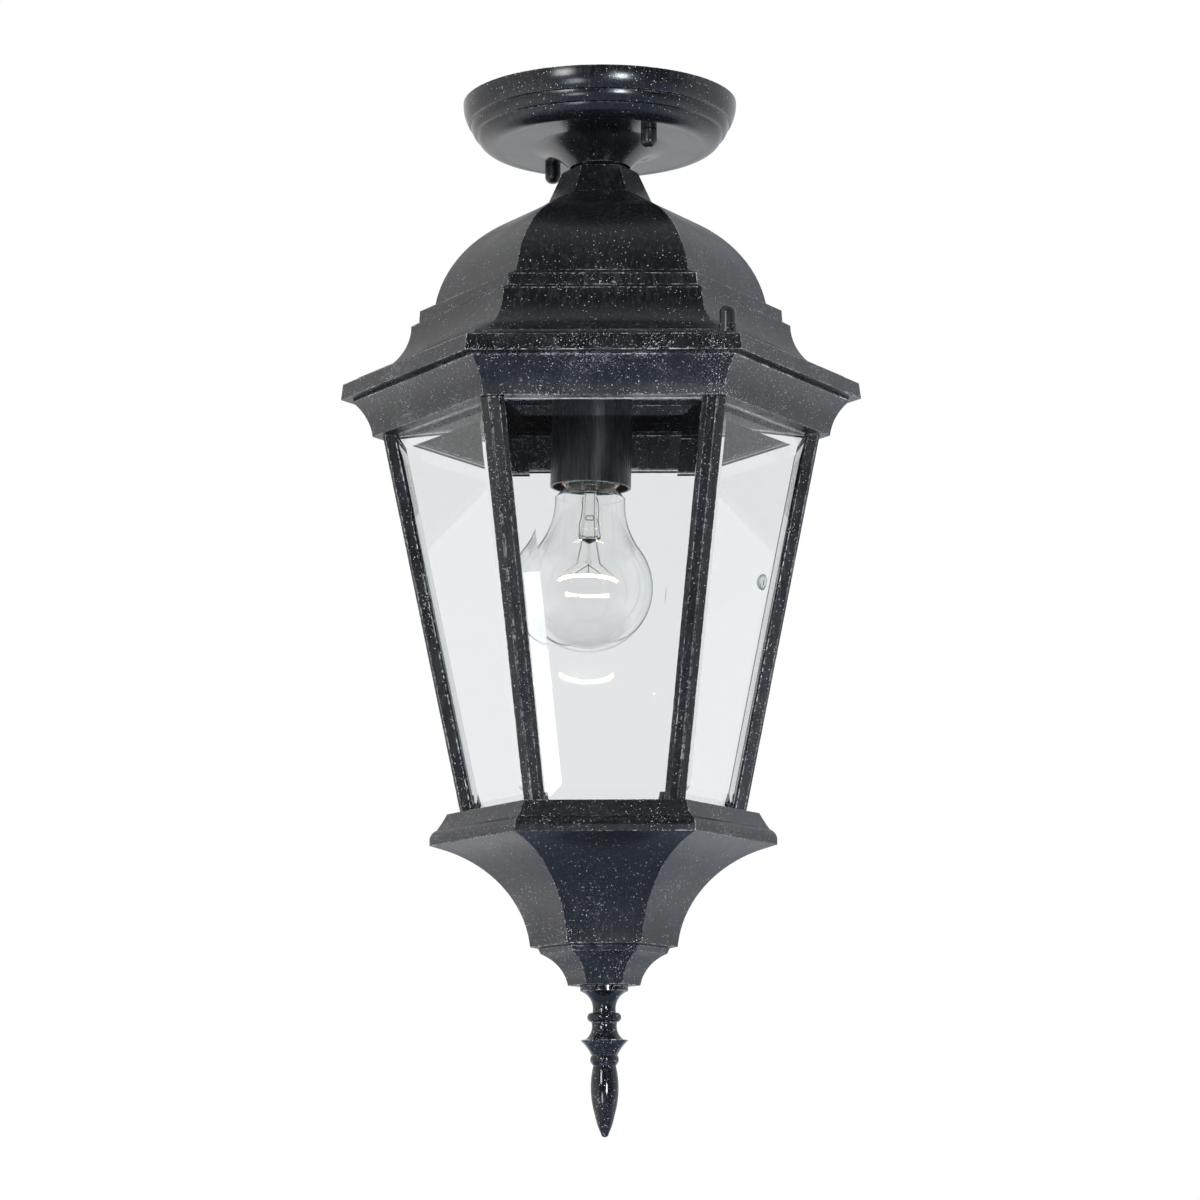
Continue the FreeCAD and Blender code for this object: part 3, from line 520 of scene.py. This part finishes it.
def cast_paint(name, amount=1.0, wear=1.0, polish=0.0, graze=0.06):
    """Satin black over a casting, with silver flecks in patches and silver along its edges."""
    paint = bpy.context.scene.lantern_paint
    made, tree, shader, _ = new_material(name)
    where = place(tree)
    density = fleck_density(tree, where)
    broad_edge = edge_line(tree, 3.5 * paint.wear_width, 0.01, 0.2)
    density = maths(tree, "ADD", density, maths(tree, "MULTIPLY", broad_edge, 0.45 * wear))
    share = maths(tree, "MULTIPLY", density, paint.fleck_share * amount)
    grit = maths(tree, "MULTIPLY", fine_grit(tree, where, paint.fleck_cell, share), 0.85)
    speck_share = maths(tree, "MULTIPLY", share, 0.30)
    specks = bright_specks(tree, where, 1.2 * paint.fleck_cell, speck_share, 0.38)
    fleck = maths(tree, "MAXIMUM", grit, specks, True)

    edge = edge_line(tree, paint.wear_width, 0.015, 0.12)
    rubbed = ramp(tree, noise(tree, where, 420.0, 3.0, 0.75), 0.48, 0.57)
    kept = ramp(tree, noise(tree, where, 48.0, 2.0), 0.40, 0.58, 0.15, 1.0)
    worn = maths(tree, "MULTIPLY", maths(tree, "MULTIPLY", edge, rubbed), kept)
    worn = maths(tree, "MULTIPLY", worn, wear)
    silver = maths(tree, "MAXIMUM", fleck, worn, True)

    streaks = noise(tree, stretched(tree, where, (1.0, 1.0, 0.10)), 800.0, 3.0, 0.65)
    dull = blend(
        tree,
        ramp(tree, noise(tree, where, 9.0, 4.0, 0.6), 0.3, 0.7),
        paint.paint_colour,
        [1.6 * c for c in paint.paint_colour[:3]] + [1.0],
    )
    dull = blend(tree, ramp(tree, streaks, 0.5, 0.75, 0.0, 0.03), dull, paint.fleck_colour)
    colour = blend(tree, silver, dull, paint.fleck_colour)
    rough = ramp(
        tree, noise(tree, where, 55.0, 3.0), 0.3, 0.7,
        paint.roughness - 0.03 - polish, paint.roughness + 0.04 - polish,
    )
    rough = maths(tree, "ADD", rough, maths(tree, "MULTIPLY", silver, 0.2), True)
    grain = noise(tree, where, 750.0, 3.0, 0.6)
    relief = maths(tree, "ADD", grain, maths(tree, "MULTIPLY", silver, 0.5))
    relief = maths(tree, "ADD", relief, maths(tree, "MULTIPLY", streaks, 0.5))
    facing = tree.nodes.new("ShaderNodeLayerWeight").outputs["Facing"]
    join(
        tree,
        shader,
        Base_Color=colour,
        Roughness=rough,
        Specular_IOR_Level=ramp(tree, facing, 0.60, 0.84, 0.5, graze),
        Normal=bumped(tree, relief, 0.16, 0.00010),
    )
    return made


def smooth_black(name, colour, rough):
    """Semi-gloss black of the cap nuts and the lampholder: moulding sheen, dust and fine rubs."""
    made, tree, shader, _ = new_material(name)
    where = place(tree)
    mottled = ramp(tree, noise(tree, where, 90.0, 4.0, 0.6), 0.35, 0.7)
    pale = [2.2 * c for c in colour[:3]] + [1.0]
    dust = ramp(tree, noise(tree, where, 1400.0, 2.0, 0.7), 0.70, 0.78, 0.0, 0.12)
    base = blend(tree, mottled, colour, pale)
    base = blend(tree, dust, base, (0.32, 0.33, 0.35, 1.0))
    rubs = noise(tree, stretched(tree, where, (1.0, 1.0, 0.05)), 700.0, 2.0)
    join(
        tree,
        shader,
        Base_Color=base,
        Roughness=ramp(tree, rubs, 0.3, 0.7, rough - 0.02, rough + 0.03),
        Normal=bumped(tree, noise(tree, where, 420.0, 2.0), 0.06, 0.0001),
    )
    return made


def bright_metal(name, colour, rough, streak=(1.0, 1.0, 0.05), tarnish=0.4, metallic=1.0):
    """Plated or bare metal with drawn streaks and uneven tarnish."""
    made, tree, shader, _ = new_material(name)
    where = place(tree)
    drawn = noise(tree, stretched(tree, where, streak), 1300.0, 3.0, 0.6)
    stain = ramp(tree, noise(tree, where, 120.0, 4.0, 0.65), 0.4, 0.75, 0.0, tarnish)
    dark = [0.45 * c for c in colour[:3]] + [1.0]
    base = blend(tree, stain, colour, dark)
    base = blend(tree, ramp(tree, drawn, 0.35, 0.65, 0.0, 0.18), base, dark)
    join(
        tree,
        shader,
        Metallic=metallic,
        Base_Color=base,
        Roughness=ramp(tree, drawn, 0.3, 0.7, rough - 0.06, rough + 0.10),
        Normal=bumped(tree, drawn, 0.10, 0.00006),
    )
    return made


def porcelain(name, colour, rough=0.5):
    """Unglazed ceramic or vitreous insulator: cloudy, with pin holes."""
    made, tree, shader, _ = new_material(name)
    where = place(tree)
    cloudy = ramp(tree, noise(tree, where, 70.0, 4.0), 0.35, 0.7)
    pins = ramp(tree, noise(tree, where, 1600.0, 1.0), 0.70, 0.76)
    darker = [0.8 * c for c in colour[:3]] + [1.0]
    pinned = [0.45 * c for c in colour[:3]] + [1.0]
    base = blend(tree, pins, blend(tree, cloudy, colour, darker), pinned)
    join(
        tree,
        shader,
        Base_Color=base,
        Roughness=ramp(tree, cloudy, 0.0, 1.0, rough - 0.1, rough + 0.1),
        Normal=bumped(tree, noise(tree, where, 900.0, 2.0), 0.12, 0.0001),
    )
    return made


def clear_glass(name, tint, smudge, wave):
    """Clear glass with faint wiping marks. Lamps shine through it."""
    made, tree, shader, output = new_material(name)
    where = place(tree)
    wiped = noise(tree, stretched(tree, where, (1.0, 1.0, 0.35)), 26.0, 4.0, 0.6)
    specks = ramp(tree, noise(tree, where, 1100.0, 1.0), 0.76, 0.80, 0.0, 0.5)
    marks = maths(tree, "MULTIPLY", ramp(tree, wiped, 0.52, 0.75), smudge)
    faint = blend(tree, specks, tint, [0.86 * c for c in tint[:3]] + [1.0])
    join(
        tree,
        shader,
        Base_Color=faint,
        Roughness=marks,
        IOR=1.50,
        Transmission_Weight=1.0,
        Normal=bumped(tree, noise(tree, where, 14.0, 1.0), wave, 0.0004),
    )
    through = add(tree, "ShaderNodeBsdfTransparent", Color=(0.93, 0.95, 0.95, 1.0))
    lit = tree.nodes.new("ShaderNodeLightPath").outputs["Is Shadow Ray"]
    mixed = add(tree, "ShaderNodeMixShader", i0=lit, i1=shader.outputs[0], i2=through.outputs[0])
    tree.links.new(mixed.outputs[0], output.inputs[0])
    return made


def hot_wire(name):
    """Lit tungsten: hottest in the middle of the span and cooler where the leads hold it."""
    lamp = bpy.context.scene.lantern_lamp
    made, tree, shader, _ = new_material(name)
    where = place(tree)
    apart = add(tree, "ShaderNodeSeparateXYZ", Vector=where)
    low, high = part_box("bulb_filament")
    middle = (low.x + high.x) / 2
    reach = maths(tree, "ABSOLUTE", maths(tree, "SUBTRACT", apart.outputs[0], middle))
    cool = ramp(tree, reach, 0.75 * (high.x - middle), high.x - middle)
    glow = blend(tree, cool, lamp.glow_colour, (1.0, 0.45, 0.12, 1.0))
    join(
        tree,
        shader,
        Base_Color=(0.4, 0.38, 0.35, 1.0),
        Metallic=1.0,
        Roughness=ramp(tree, noise(tree, where, 3000.0, 2.0), 0.3, 0.7, 0.35, 0.6),
        Emission_Color=glow,
        Emission_Strength=lamp.glow,
    )
    made.cycles.emission_sampling = "NONE"
    return made


def painted_glint_strip(name, tint):
    """Painted glint along the top of a pane: a whitish strip that stands in for the bright line
    the pane's top bevel refracts, with fine chips in its tone.
    """
    made, tree, shader, _ = new_material(name)
    where = place(tree)
    chips = ramp(tree, noise(tree, where, 700.0, 3.0, 0.7), 0.40, 0.62)
    grey = [0.45 * c for c in tint[:3]] + [1.0]
    join(
        tree,
        shader,
        Base_Color=blend(tree, chips, grey, tint),
        Roughness=ramp(tree, chips, 0.0, 1.0, 0.6, 0.3),
        Normal=bumped(tree, chips, 0.2, 0.00005),
        Transmission_Weight=0.3,
    )
    return made


def finish(names, material):
    """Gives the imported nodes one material."""
    for name in names:
        slots = NODES[name].data.materials
        slots.clear()
        slots.append(material)


# ---------------------------------------------------------------- pieces


def new_mesh(name, points, faces):
    mesh = bpy.data.meshes.new(name)
    mesh.from_pydata([tuple(p) for p in points], [], faces)
    mesh.update()
    made = bpy.data.objects.new(name, mesh)
    bpy.context.scene.collection.objects.link(made)
    return made


def wire_run(name, runs, radius):
    """Round wires through lines of points."""
    curve = bpy.data.curves.new(name, "CURVE")
    curve.dimensions = "3D"
    curve.bevel_depth = radius
    curve.bevel_resolution = 2
    curve.use_fill_caps = True
    for run in runs:
        line = curve.splines.new("POLY")
        line.points.add(len(run) - 1)
        for point, where in zip(line.points, run):
            point.co = (*where, 1.0)
    made = bpy.data.objects.new(name, curve)
    bpy.context.scene.collection.objects.link(made)
    return made


def pane_frame(node, k):
    """Middle of a pane's inner face at its top edge, with its along and down directions."""
    turn = Matrix.Rotation(math.radians(60 * k), 3, "Z")
    points = [turn.transposed() @ v.co for v in NODES[node].data.vertices]
    inner = max(p.y for p in points)
    top = max(p.z for p in points)
    upper = [p for p in points if p.z > top - 1.0 * MM]
    lower = [p for p in points if p.z < min(q.z for q in points) + 1.0 * MM]
    top_back = max(p.y for p in upper)
    down = Vector((0.0, inner - top_back, min(p.z for p in lower) - top)).normalized()
    width = max(p.x for p in upper)
    return turn, Vector((0.0, top_back, top)), down, width


def edge_strip(name, node, k, drop):
    """Thin strip along the top of a pane, just below the ring."""
    turn, start, down, width = pane_frame(node, k)
    out = Vector((0.0, down.z, -down.y))
    middle = start + drop * down - EDGE_GAP * out
    half = width - EDGE_MARGIN
    points = []
    for side in (-1, 1):
        for step_down, step_in in ((0, 0), (0, 1), (1, 1), (1, 0)):
            inward = EDGE_THICK_SHARE * step_in * EDGE_SIZE
            at = middle + step_down * EDGE_SIZE * down - inward * out
            points.append(turn @ (at + Vector((side * half, 0.0, 0.0))))
    faces = [(0, 1, 2, 3), (7, 6, 5, 4), (0, 4, 5, 1), (1, 5, 6, 2), (2, 6, 7, 3), (3, 7, 4, 0)]
    return new_mesh(name, points, faces)


def clear_bumper():
    """Small clear vinyl dot stuck inside the right front pane."""
    turn, start, down, _ = pane_frame("glass_pane_2", 1)
    out = Vector((0.0, down.z, -down.y))
    middle = start + BUMPER_DOWN * down + Vector((BUMPER_ALONG, 0.0, 0.0)) - EDGE_GAP * out
    rings, around = 6, 28
    points = []
    for ring in range(rings + 1):
        angle = 0.5 * math.pi * ring / rings
        radius, height = BUMPER_R * math.cos(angle), BUMPER_H * math.sin(angle)
        for k in range(around):
            a = 2 * math.pi * k / around
            flat = Vector((radius * math.cos(a), 0.0, 0.0)) + down * radius * math.sin(a)
            points.append(turn @ (middle + flat - height * out))
    faces = [list(range(around))[::-1]]
    for ring in range(rings):
        for k in range(around):
            a, b = ring * around + k, ring * around + (k + 1) % around
            faces.append((a, b, b + around, a + around))
    return new_mesh("pane_bumper", points, faces)


class LANTERN_OT_castings(bpy.types.Operator):
    """Paint the canopy, roof, ring, posts, cup and finial in flecked black"""

    bl_idname = "lantern.castings"
    bl_label = "Castings"

    def execute(self, context):
        finish(["canopy"], cast_paint("cast_black_spun", 0.9, 0.35, 0.08, 0.42))
        finish(["roof", "cage_top_ring", "bottom_cup"], cast_paint("cast_black"))
        finish(numbered("corner_post"), cast_paint("cast_black_post", 0.75, 1.0))
        finish(["finial"], cast_paint("cast_black_turned", 1.0, 1.1, 0.16))
        return {"FINISHED"}


class LANTERN_OT_panes(bpy.types.Operator):
    """Glaze the six sides with clear bevelled panes"""

    bl_idname = "lantern.panes"
    bl_label = "Panes"

    def execute(self, context):
        glass = context.scene.lantern_glass
        pane = clear_glass("pane_glass", glass.pane_tint, glass.smudge, 0.02)
        finish(numbered("glass_pane"), pane)
        # painted glint: a whitish strip for the bright line that each pane's top bevel refracts
        edge = painted_glint_strip("painted_glint_glass", glass.pane_tint)
        # painted shadow: a near-black strip that stands in for the dark shadow line under the
        # painted glint
        shade_line = smooth_black("painted_shadow_line", (0.006, 0.006, 0.007, 1.0), 0.5)
        for k, node in enumerate(numbered("glass_pane")):
            drop = BACK_EDGE_DROP if k in BACK_PANES else FRONT_EDGE_DROP
            strips = [(f"pane_painted_glint_{k + 1}", drop, edge)]
            # back panes also get the painted shadow line just below their painted glint
            if k in BACK_PANES:
                strips.append((f"pane_painted_shadow_{k + 1}", drop + EDGE_SIZE, shade_line))
            for name, down, material in strips:
                strip = edge_strip(name, node, k, down)
                strip.data.materials.append(material)
                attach(strip, "cage")
        bumper = clear_bumper()
        vinyl = clear_glass("bumper_vinyl", (0.70, 0.72, 0.72, 1.0), 0.6, 0.1)
        bumper.data.materials.append(vinyl)
        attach(bumper, "cage")
        return {"FINISHED"}


class LANTERN_OT_hardware(bpy.types.Operator):
    """Finish the plate, studs, screws, clips, nuts and stem"""

    bl_idname = "lantern.hardware"
    bl_label = "Hardware"

    def execute(self, context):
        plated = bright_metal("zinc_plate", (0.62, 0.62, 0.60, 1.0), 0.34)
        finish(
            ["mounting_plate", "plate_stud_front", "plate_stud_back", "stem_nipple",
             "stem_washer_upper", "stem_locknut_upper", "stem_washer_lower",
             "stem_locknut_lower", "finial_stud", "finial_nut", "cage_stud_right",
             "cage_stud_left", "post_screws_top", "post_screws_foot"],
            plated,
        )
        finish(["ground_screw"], bright_metal("green_plate", (0.06, 0.34, 0.12, 1.0), 0.38))
        black = smooth_black("nut_black", (0.010, 0.010, 0.011, 1.0), 0.26)
        finish(
            ["canopy_cap_nut_front", "canopy_cap_nut_back", "roof_cap_nut_right",
             "roof_cap_nut_left"],
            black,
        )
        finish(numbered("glass_clip") + numbered("clip_screw"),
               smooth_black("clip_black", (0.012, 0.012, 0.013, 1.0), 0.34))
        return {"FINISHED"}


class LANTERN_OT_lampholder(bpy.types.Operator):
    """Finish the lampholder's cap, tube, core, shell and contact"""

    bl_idname = "lantern.lampholder"
    bl_label = "Lampholder"

    def execute(self, context):
        finish(["socket_cap", "socket_body"],
               smooth_black("holder_black", (0.0032, 0.0036, 0.0045, 1.0), 0.27))
        finish(["socket_core"], porcelain("holder_porcelain", (0.62, 0.60, 0.56, 1.0)))
        finish(["socket_shell", "socket_contact"],
               bright_metal("holder_copper", (0.55, 0.25, 0.14, 1.0), 0.34, metallic=0.7))
        return {"FINISHED"}


class LANTERN_OT_bulb(bpy.types.Operator):
    """Finish the clear bulb and wind its filament"""

    bl_idname = "lantern.bulb"
    bl_label = "Bulb"

    def execute(self, context):
        glass = context.scene.lantern_glass
        finish(["bulb_glass", "bulb_stem"],
               clear_glass("bulb_clear", glass.bulb_tint, 0.5 * glass.smudge, 0.03))
        finish(["bulb_base", "bulb_contact"],
               bright_metal("bulb_cap", (0.72, 0.71, 0.69, 1.0), 0.26))
        finish(["bulb_insulator"], porcelain("bulb_insulator", (0.03, 0.03, 0.05, 1.0), 0.25))
        finish(["bulb_leads"],
               bright_metal("lead_wire", (0.46, 0.42, 0.38, 1.0), 0.35, (1.0, 1.0, 0.3)))
        leads = lead_ins()
        leads.data.materials.append(bright_metal("lead_in_wire", (0.20, 0.14, 0.11, 1.0), 0.4))
        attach(leads, "bulb")
        coil = filament_coil(context.scene.lantern_lamp)
        coil.data.materials.append(hot_wire("hot_filament"))
        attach(coil, "bulb")
        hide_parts("bulb_filament")
        lamp_light(context.scene.lantern_lamp)
        return {"FINISHED"}


def hung(point):
    """A point of the upright bulb, leaned over with the bulb's axis."""
    lean = Matrix.Rotation(LAMP_LEAN, 3, "Y")
    return LEAN_POINT + lean @ (point - LEAN_POINT)


def filament_frame(angle):
    """Point of the filament's bow, and the two directions square to the wire there."""
    radius = (FILAMENT_HALF**2 + FILAMENT_BOW**2) / (2 * FILAMENT_BOW)
    forward = Vector((0.0, -FILAMENT_BOW, FILAMENT_RISE)).normalized()
    front = Vector((0.0, -FILAMENT_BOW, FILAMENT_RISE - FILAMENT_DEPTH))
    right = Vector((1.0, 0.0, 0.0))
    outward = forward * math.cos(angle) + right * math.sin(angle)
    point = front + radius * (outward - forward)
    return hung(point), hung(outward) - hung(Vector()), right.cross(forward)


def hung_mm(x, y, z):
    """A point given in mm, leaned over with the bulb's axis."""
    return hung(Vector((x, y, z)) * MM)


def lead_ins():
    """Lead-in wires up the stem, and the wavy seam where the stem's foot was pressed shut."""
    runs = []
    for side in (-1, 1):
        run = []
        for k in range(LEAD_POINTS + 1):
            t = k / LEAD_POINTS
            radius = 4.9 - 1.6 * t**1.5 + 0.30 * math.sin(9.0 * t + side) + 0.12 * math.sin(23 * t)
            depth = -0.9 + 0.4 * math.sin(5 * t)
            run.append(hung_mm(side * radius, depth, LEAD_FOOT + LEAD_RUN * t))
        runs.append(run)
    seam = []
    for k in range(SEAM_POINTS + 1):
        a = 2 * math.pi * k / SEAM_POINTS
        wave = 0.35 * math.sin(5 * a) + 0.25 * math.sin(8 * a + 1)
        seam.append(
            hung_mm(SEAM_HALF[0] * math.cos(a), SEAM_HALF[1] * math.sin(a), SEAM_LEVEL + wave)
        )
    eye = []
    for k in range(EYE_POINTS + 1):
        a = 2 * math.pi * k / EYE_POINTS
        level = EYE_CENTRE[1] + EYE_HALF[1] * math.sin(a) + 0.3 * math.sin(3 * a)
        eye.append(hung_mm(EYE_HALF[0] * math.cos(a), EYE_CENTRE[0], level))
    return wire_run("lead_ins", runs + [seam, eye], LEAD_RADIUS)


def filament_coil(lamp):
    """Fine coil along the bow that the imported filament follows."""
    radius = (FILAMENT_HALF**2 + FILAMENT_BOW**2) / (2 * FILAMENT_BOW)
    reach = math.asin(FILAMENT_HALF / radius)
    steps_a_turn = 10
    count = int(2 * reach * radius / lamp.pitch) * steps_a_turn
    run = []
    for k in range(count + 1):
        centre, outward, up = filament_frame(reach * (2 * k / count - 1))
        turn = 2 * math.pi * k / steps_a_turn
        run.append(centre + lamp.coil_radius * (outward * math.cos(turn) + up * math.sin(turn)))
    return wire_run("filament_coil", [run], lamp.wire_radius)


def lamp_light(lamp):
    light = bpy.data.lights.new("filament_light", "POINT")
    light.energy = lamp.lamp_power
    light.color = lamp.glow_colour[:3]
    light.shadow_soft_size = 6 * MM
    made = bpy.data.objects.new("filament_light", light)
    made.location = hung(Vector((0.0, 0.0, -FILAMENT_DEPTH)))
    made.visible_camera = False
    made.visible_glossy = False
    made.visible_transmission = False
    bpy.context.scene.collection.objects.link(made)


# ---------------------------------------------------------------- stage


class LANTERN_OT_stage(bpy.types.Operator):
    """Build the floor, the surroundings, the lamps and the camera"""

    bl_idname = "lantern.stage"
    bl_label = "Stage"

    def execute(self, context):
        stage = context.scene.lantern_stage
        pale_floor(stage)
        surroundings(stage)
        soft_lamp("left_lamp", stage.left_power, -30.0, 9.0, 2.6, 0.55, 0.70, (0.97, 0.96, 1.0))
        soft_lamp("right_lamp", stage.right_power, 17.0, -5.0, 2.6, 0.34, 0.50, (0.86, 0.93, 1.0))
        soft_lamp("low_lamp", stage.low_power, -22.0, -17.0, 2.2, 0.50, 0.42, (0.84, 0.92, 1.0))
        photo_camera(stage)
        context.scene.view_settings.view_transform = "Standard"
        return {"FINISHED"}


def ray_kinds(tree):
    """1 for rays that see the room straight or through glass, for mirrored and for matt ones."""
    path = tree.nodes.new("ShaderNodeLightPath")
    matt = maths(tree, "MINIMUM", path.outputs["Diffuse Depth"], 1.0)
    mirrored = maths(tree, "MINIMUM", path.outputs["Glossy Depth"], 1.0)
    mirrored = maths(tree, "MULTIPLY", mirrored, maths(tree, "SUBTRACT", 1.0, matt))
    straight = maths(tree, "SUBTRACT", 1.0, maths(tree, "ADD", matt, mirrored))
    return straight, mirrored, matt


def pale_floor(stage):
    """Round floor. It keeps the shadow near the lantern and fades into the white room."""
    radius = 6.0
    ring = 96
    corners = [
        (radius * math.cos(2 * math.pi * k / ring), radius * math.sin(2 * math.pi * k / ring), 0.0)
        for k in range(ring)
    ]
    mesh = bpy.data.meshes.new("floor")
    mesh.from_pydata(corners, [], [list(range(ring))])
    floor = bpy.data.objects.new("floor", mesh)
    floor.location = (0.0, 0.0, stage.floor_height)
    bpy.context.scene.collection.objects.link(floor)
    made, tree, shader, output = new_material("pale_floor")
    where = place(tree)
    grain = ramp(tree, noise(tree, where, 60.0, 4.0), 0.3, 0.7)
    paler = [min(1.0, 1.03 * c) for c in stage.floor_colour[:3]] + [1.0]
    straight, mirrored, _ = ray_kinds(tree)
    base = blend(tree, grain, stage.floor_colour, paler)
    # painted reflection: rays mirrored off polished parts see the floor in a bluish darker tone,
    # not its own colour
    join(
        tree,
        shader,
        Base_Color=blend(tree, mirrored, base, stage.floor_reflection_tone),
        Roughness=0.8,
        Specular_IOR_Level=0.0,
    )
    far = ramp(tree, vector_maths(tree, "LENGTH", where, output="Value"), 0.6, 1.3, smooth=True)
    white = add(tree, "ShaderNodeEmission", Color=(1.0, 1.0, 1.0, 1.0), Strength=1.0)
    nothing = tree.nodes.new("ShaderNodeBsdfTransparent")
    beyond = add(
        tree, "ShaderNodeMixShader", i0=straight, i1=nothing.outputs[0], i2=white.outputs[0]
    )
    mixed = add(tree, "ShaderNodeMixShader", i0=far, i1=shader.outputs[0], i2=beyond.outputs[0])
    tree.links.new(mixed.outputs[0], output.inputs[0])
    mesh.materials.append(made)


def surroundings(stage):
    """White room. Polished parts mirror it white at the sides and back and dark at the front."""
    world = bpy.data.worlds.new("white_room")
    bpy.context.scene.world = world
    world.use_nodes = True
    tree = world.node_tree
    tree.nodes.clear()
    way = tree.nodes.new("ShaderNodeTexCoord").outputs["Generated"]
    apart = add(tree, "ShaderNodeSeparateXYZ", Vector=way)
    facing = vector_maths(tree, "DOT_PRODUCT", way, (-0.20, 0.98, 0.0), output="Value")
    front = ramp(tree, facing, -0.82, -0.10, smooth=True)
    low = ramp(tree, apart.outputs[2], -0.50, -0.12, 1.42, 0.86)
    high = ramp(tree, apart.outputs[2], 0.2, 1.0, 1.0, 0.60)
    side = maths(tree, "MULTIPLY", front, maths(tree, "MULTIPLY", low, high))
    floor_glow = ramp(tree, apart.outputs[2], -0.14, -0.40, 0.0, 0.50)
    glow = maths(tree, "MULTIPLY", floor_glow, maths(tree, "SUBTRACT", 1.0, front))
    polish = ramp(tree, side, 0.0, 1.3, stage.front_level, 1.3)
    polish = maths(tree, "ADD", polish, glow)
    straight, mirrored, matt = ray_kinds(tree)
    level = maths(tree, "MULTIPLY", matt, stage.room_level)
    level = maths(tree, "ADD", level, maths(tree, "MULTIPLY", mirrored, polish))
    level = maths(tree, "ADD", level, straight)
    cool = maths(tree, "MULTIPLY", mirrored, ramp(tree, apart.outputs[0], -0.3, 0.4))
    tone = blend(tree, cool, (1.0, 1.0, 1.0, 1.0), (0.87, 0.94, 1.0, 1.0))
    blue = maths(tree, "MULTIPLY", mirrored, maths(tree, "MULTIPLY", glow, 2.0, True))
    tone = blend(tree, blue, tone, (0.50, 0.68, 1.0, 1.0))
    light = add(tree, "ShaderNodeBackground", Color=tone, Strength=level)
    output = tree.nodes.new("ShaderNodeOutputWorld")
    tree.links.new(light.outputs[0], output.inputs[0])


def direction(turn, rise):
    """Direction from the lantern at an azimuth from the front and a height angle."""
    level = math.cos(rise)
    return Vector((math.sin(turn) * level, -math.cos(turn) * level, math.sin(rise)))


def soft_lamp(name, power, azimuth, elevation, distance, width, height, colour):
    """Area lamp that faces the lantern. Azimuth is in degrees from the front, to the right."""
    light = bpy.data.lights.new(name, "AREA")
    light.shape = "RECTANGLE"
    light.size = width
    light.size_y = height
    light.energy = power
    light.color = colour
    made = bpy.data.objects.new(name, light)
    target = Vector((0.0, 0.0, -0.25))
    back = direction(math.radians(azimuth), math.radians(elevation))
    made.location = target + distance * back
    made.visible_camera = False
    made.visible_transmission = False
    made.rotation_mode = "QUATERNION"
    made.rotation_quaternion = (-back).to_track_quat("-Z", "Y")
    bpy.context.scene.collection.objects.link(made)


def photo_camera(stage):
    camera = bpy.data.cameras.new("camera")
    camera.sensor_width = 36.0
    camera.lens = stage.lens
    camera.clip_start = 0.01
    camera.clip_end = 50.0
    made = bpy.data.objects.new("camera", camera)
    back = direction(stage.azimuth, stage.elevation)
    aim = (-back).to_track_quat("-Z", "Y").to_matrix()
    made.matrix_world = (
        Matrix.Translation(Vector(stage.target) + stage.distance * back)
        @ (aim @ Matrix.Rotation(stage.roll, 3, "Z")).to_4x4()
    )
    bpy.context.scene.collection.objects.link(made)
    bpy.context.scene.camera = made


# ---------------------------------------------------------------- panel and main


class LANTERN_PT_panel(bpy.types.Panel):
    """Lists the lantern's settings and building steps"""

    bl_idname = "LANTERN_PT_panel"
    bl_label = "Porch Lantern"
    bl_space_type = "VIEW_3D"
    bl_region_type = "UI"
    bl_category = "Lantern"

    def draw(self, context):
        for name in SETTINGS:
            box = self.layout.box()
            settings = getattr(context.scene, name)
            for key in settings.bl_rna.properties.keys():
                if key not in ("rna_type", "name"):
                    box.prop(settings, key)
        for step in STEPS:
            self.layout.operator(step.bl_idname)


SETTINGS = {
    "lantern_paint": LanternPaintSettings,
    "lantern_glass": LanternGlassSettings,
    "lantern_lamp": LanternLampSettings,
    "lantern_stage": LanternStageSettings,
}
STEPS = (
    LANTERN_OT_castings,
    LANTERN_OT_panes,
    LANTERN_OT_hardware,
    LANTERN_OT_lampholder,
    LANTERN_OT_bulb,
    LANTERN_OT_stage,
)


def register():
    for name, group in SETTINGS.items():
        bpy.utils.register_class(group)
        setattr(bpy.types.Scene, name, bpy.props.PointerProperty(type=group))
    for step in STEPS:
        bpy.utils.register_class(step)
    bpy.utils.register_class(LANTERN_PT_panel)


def unregister():
    bpy.utils.unregister_class(LANTERN_PT_panel)
    for step in reversed(STEPS):
        bpy.utils.unregister_class(step)
    for name, group in reversed(SETTINGS.items()):
        delattr(bpy.types.Scene, name)
        bpy.utils.unregister_class(group)


def main():
    register()
    for step in STEPS:
        group, name = step.bl_idname.split(".")
        getattr(getattr(bpy.ops, group), name)()


if __name__ == "__main__":
    main()
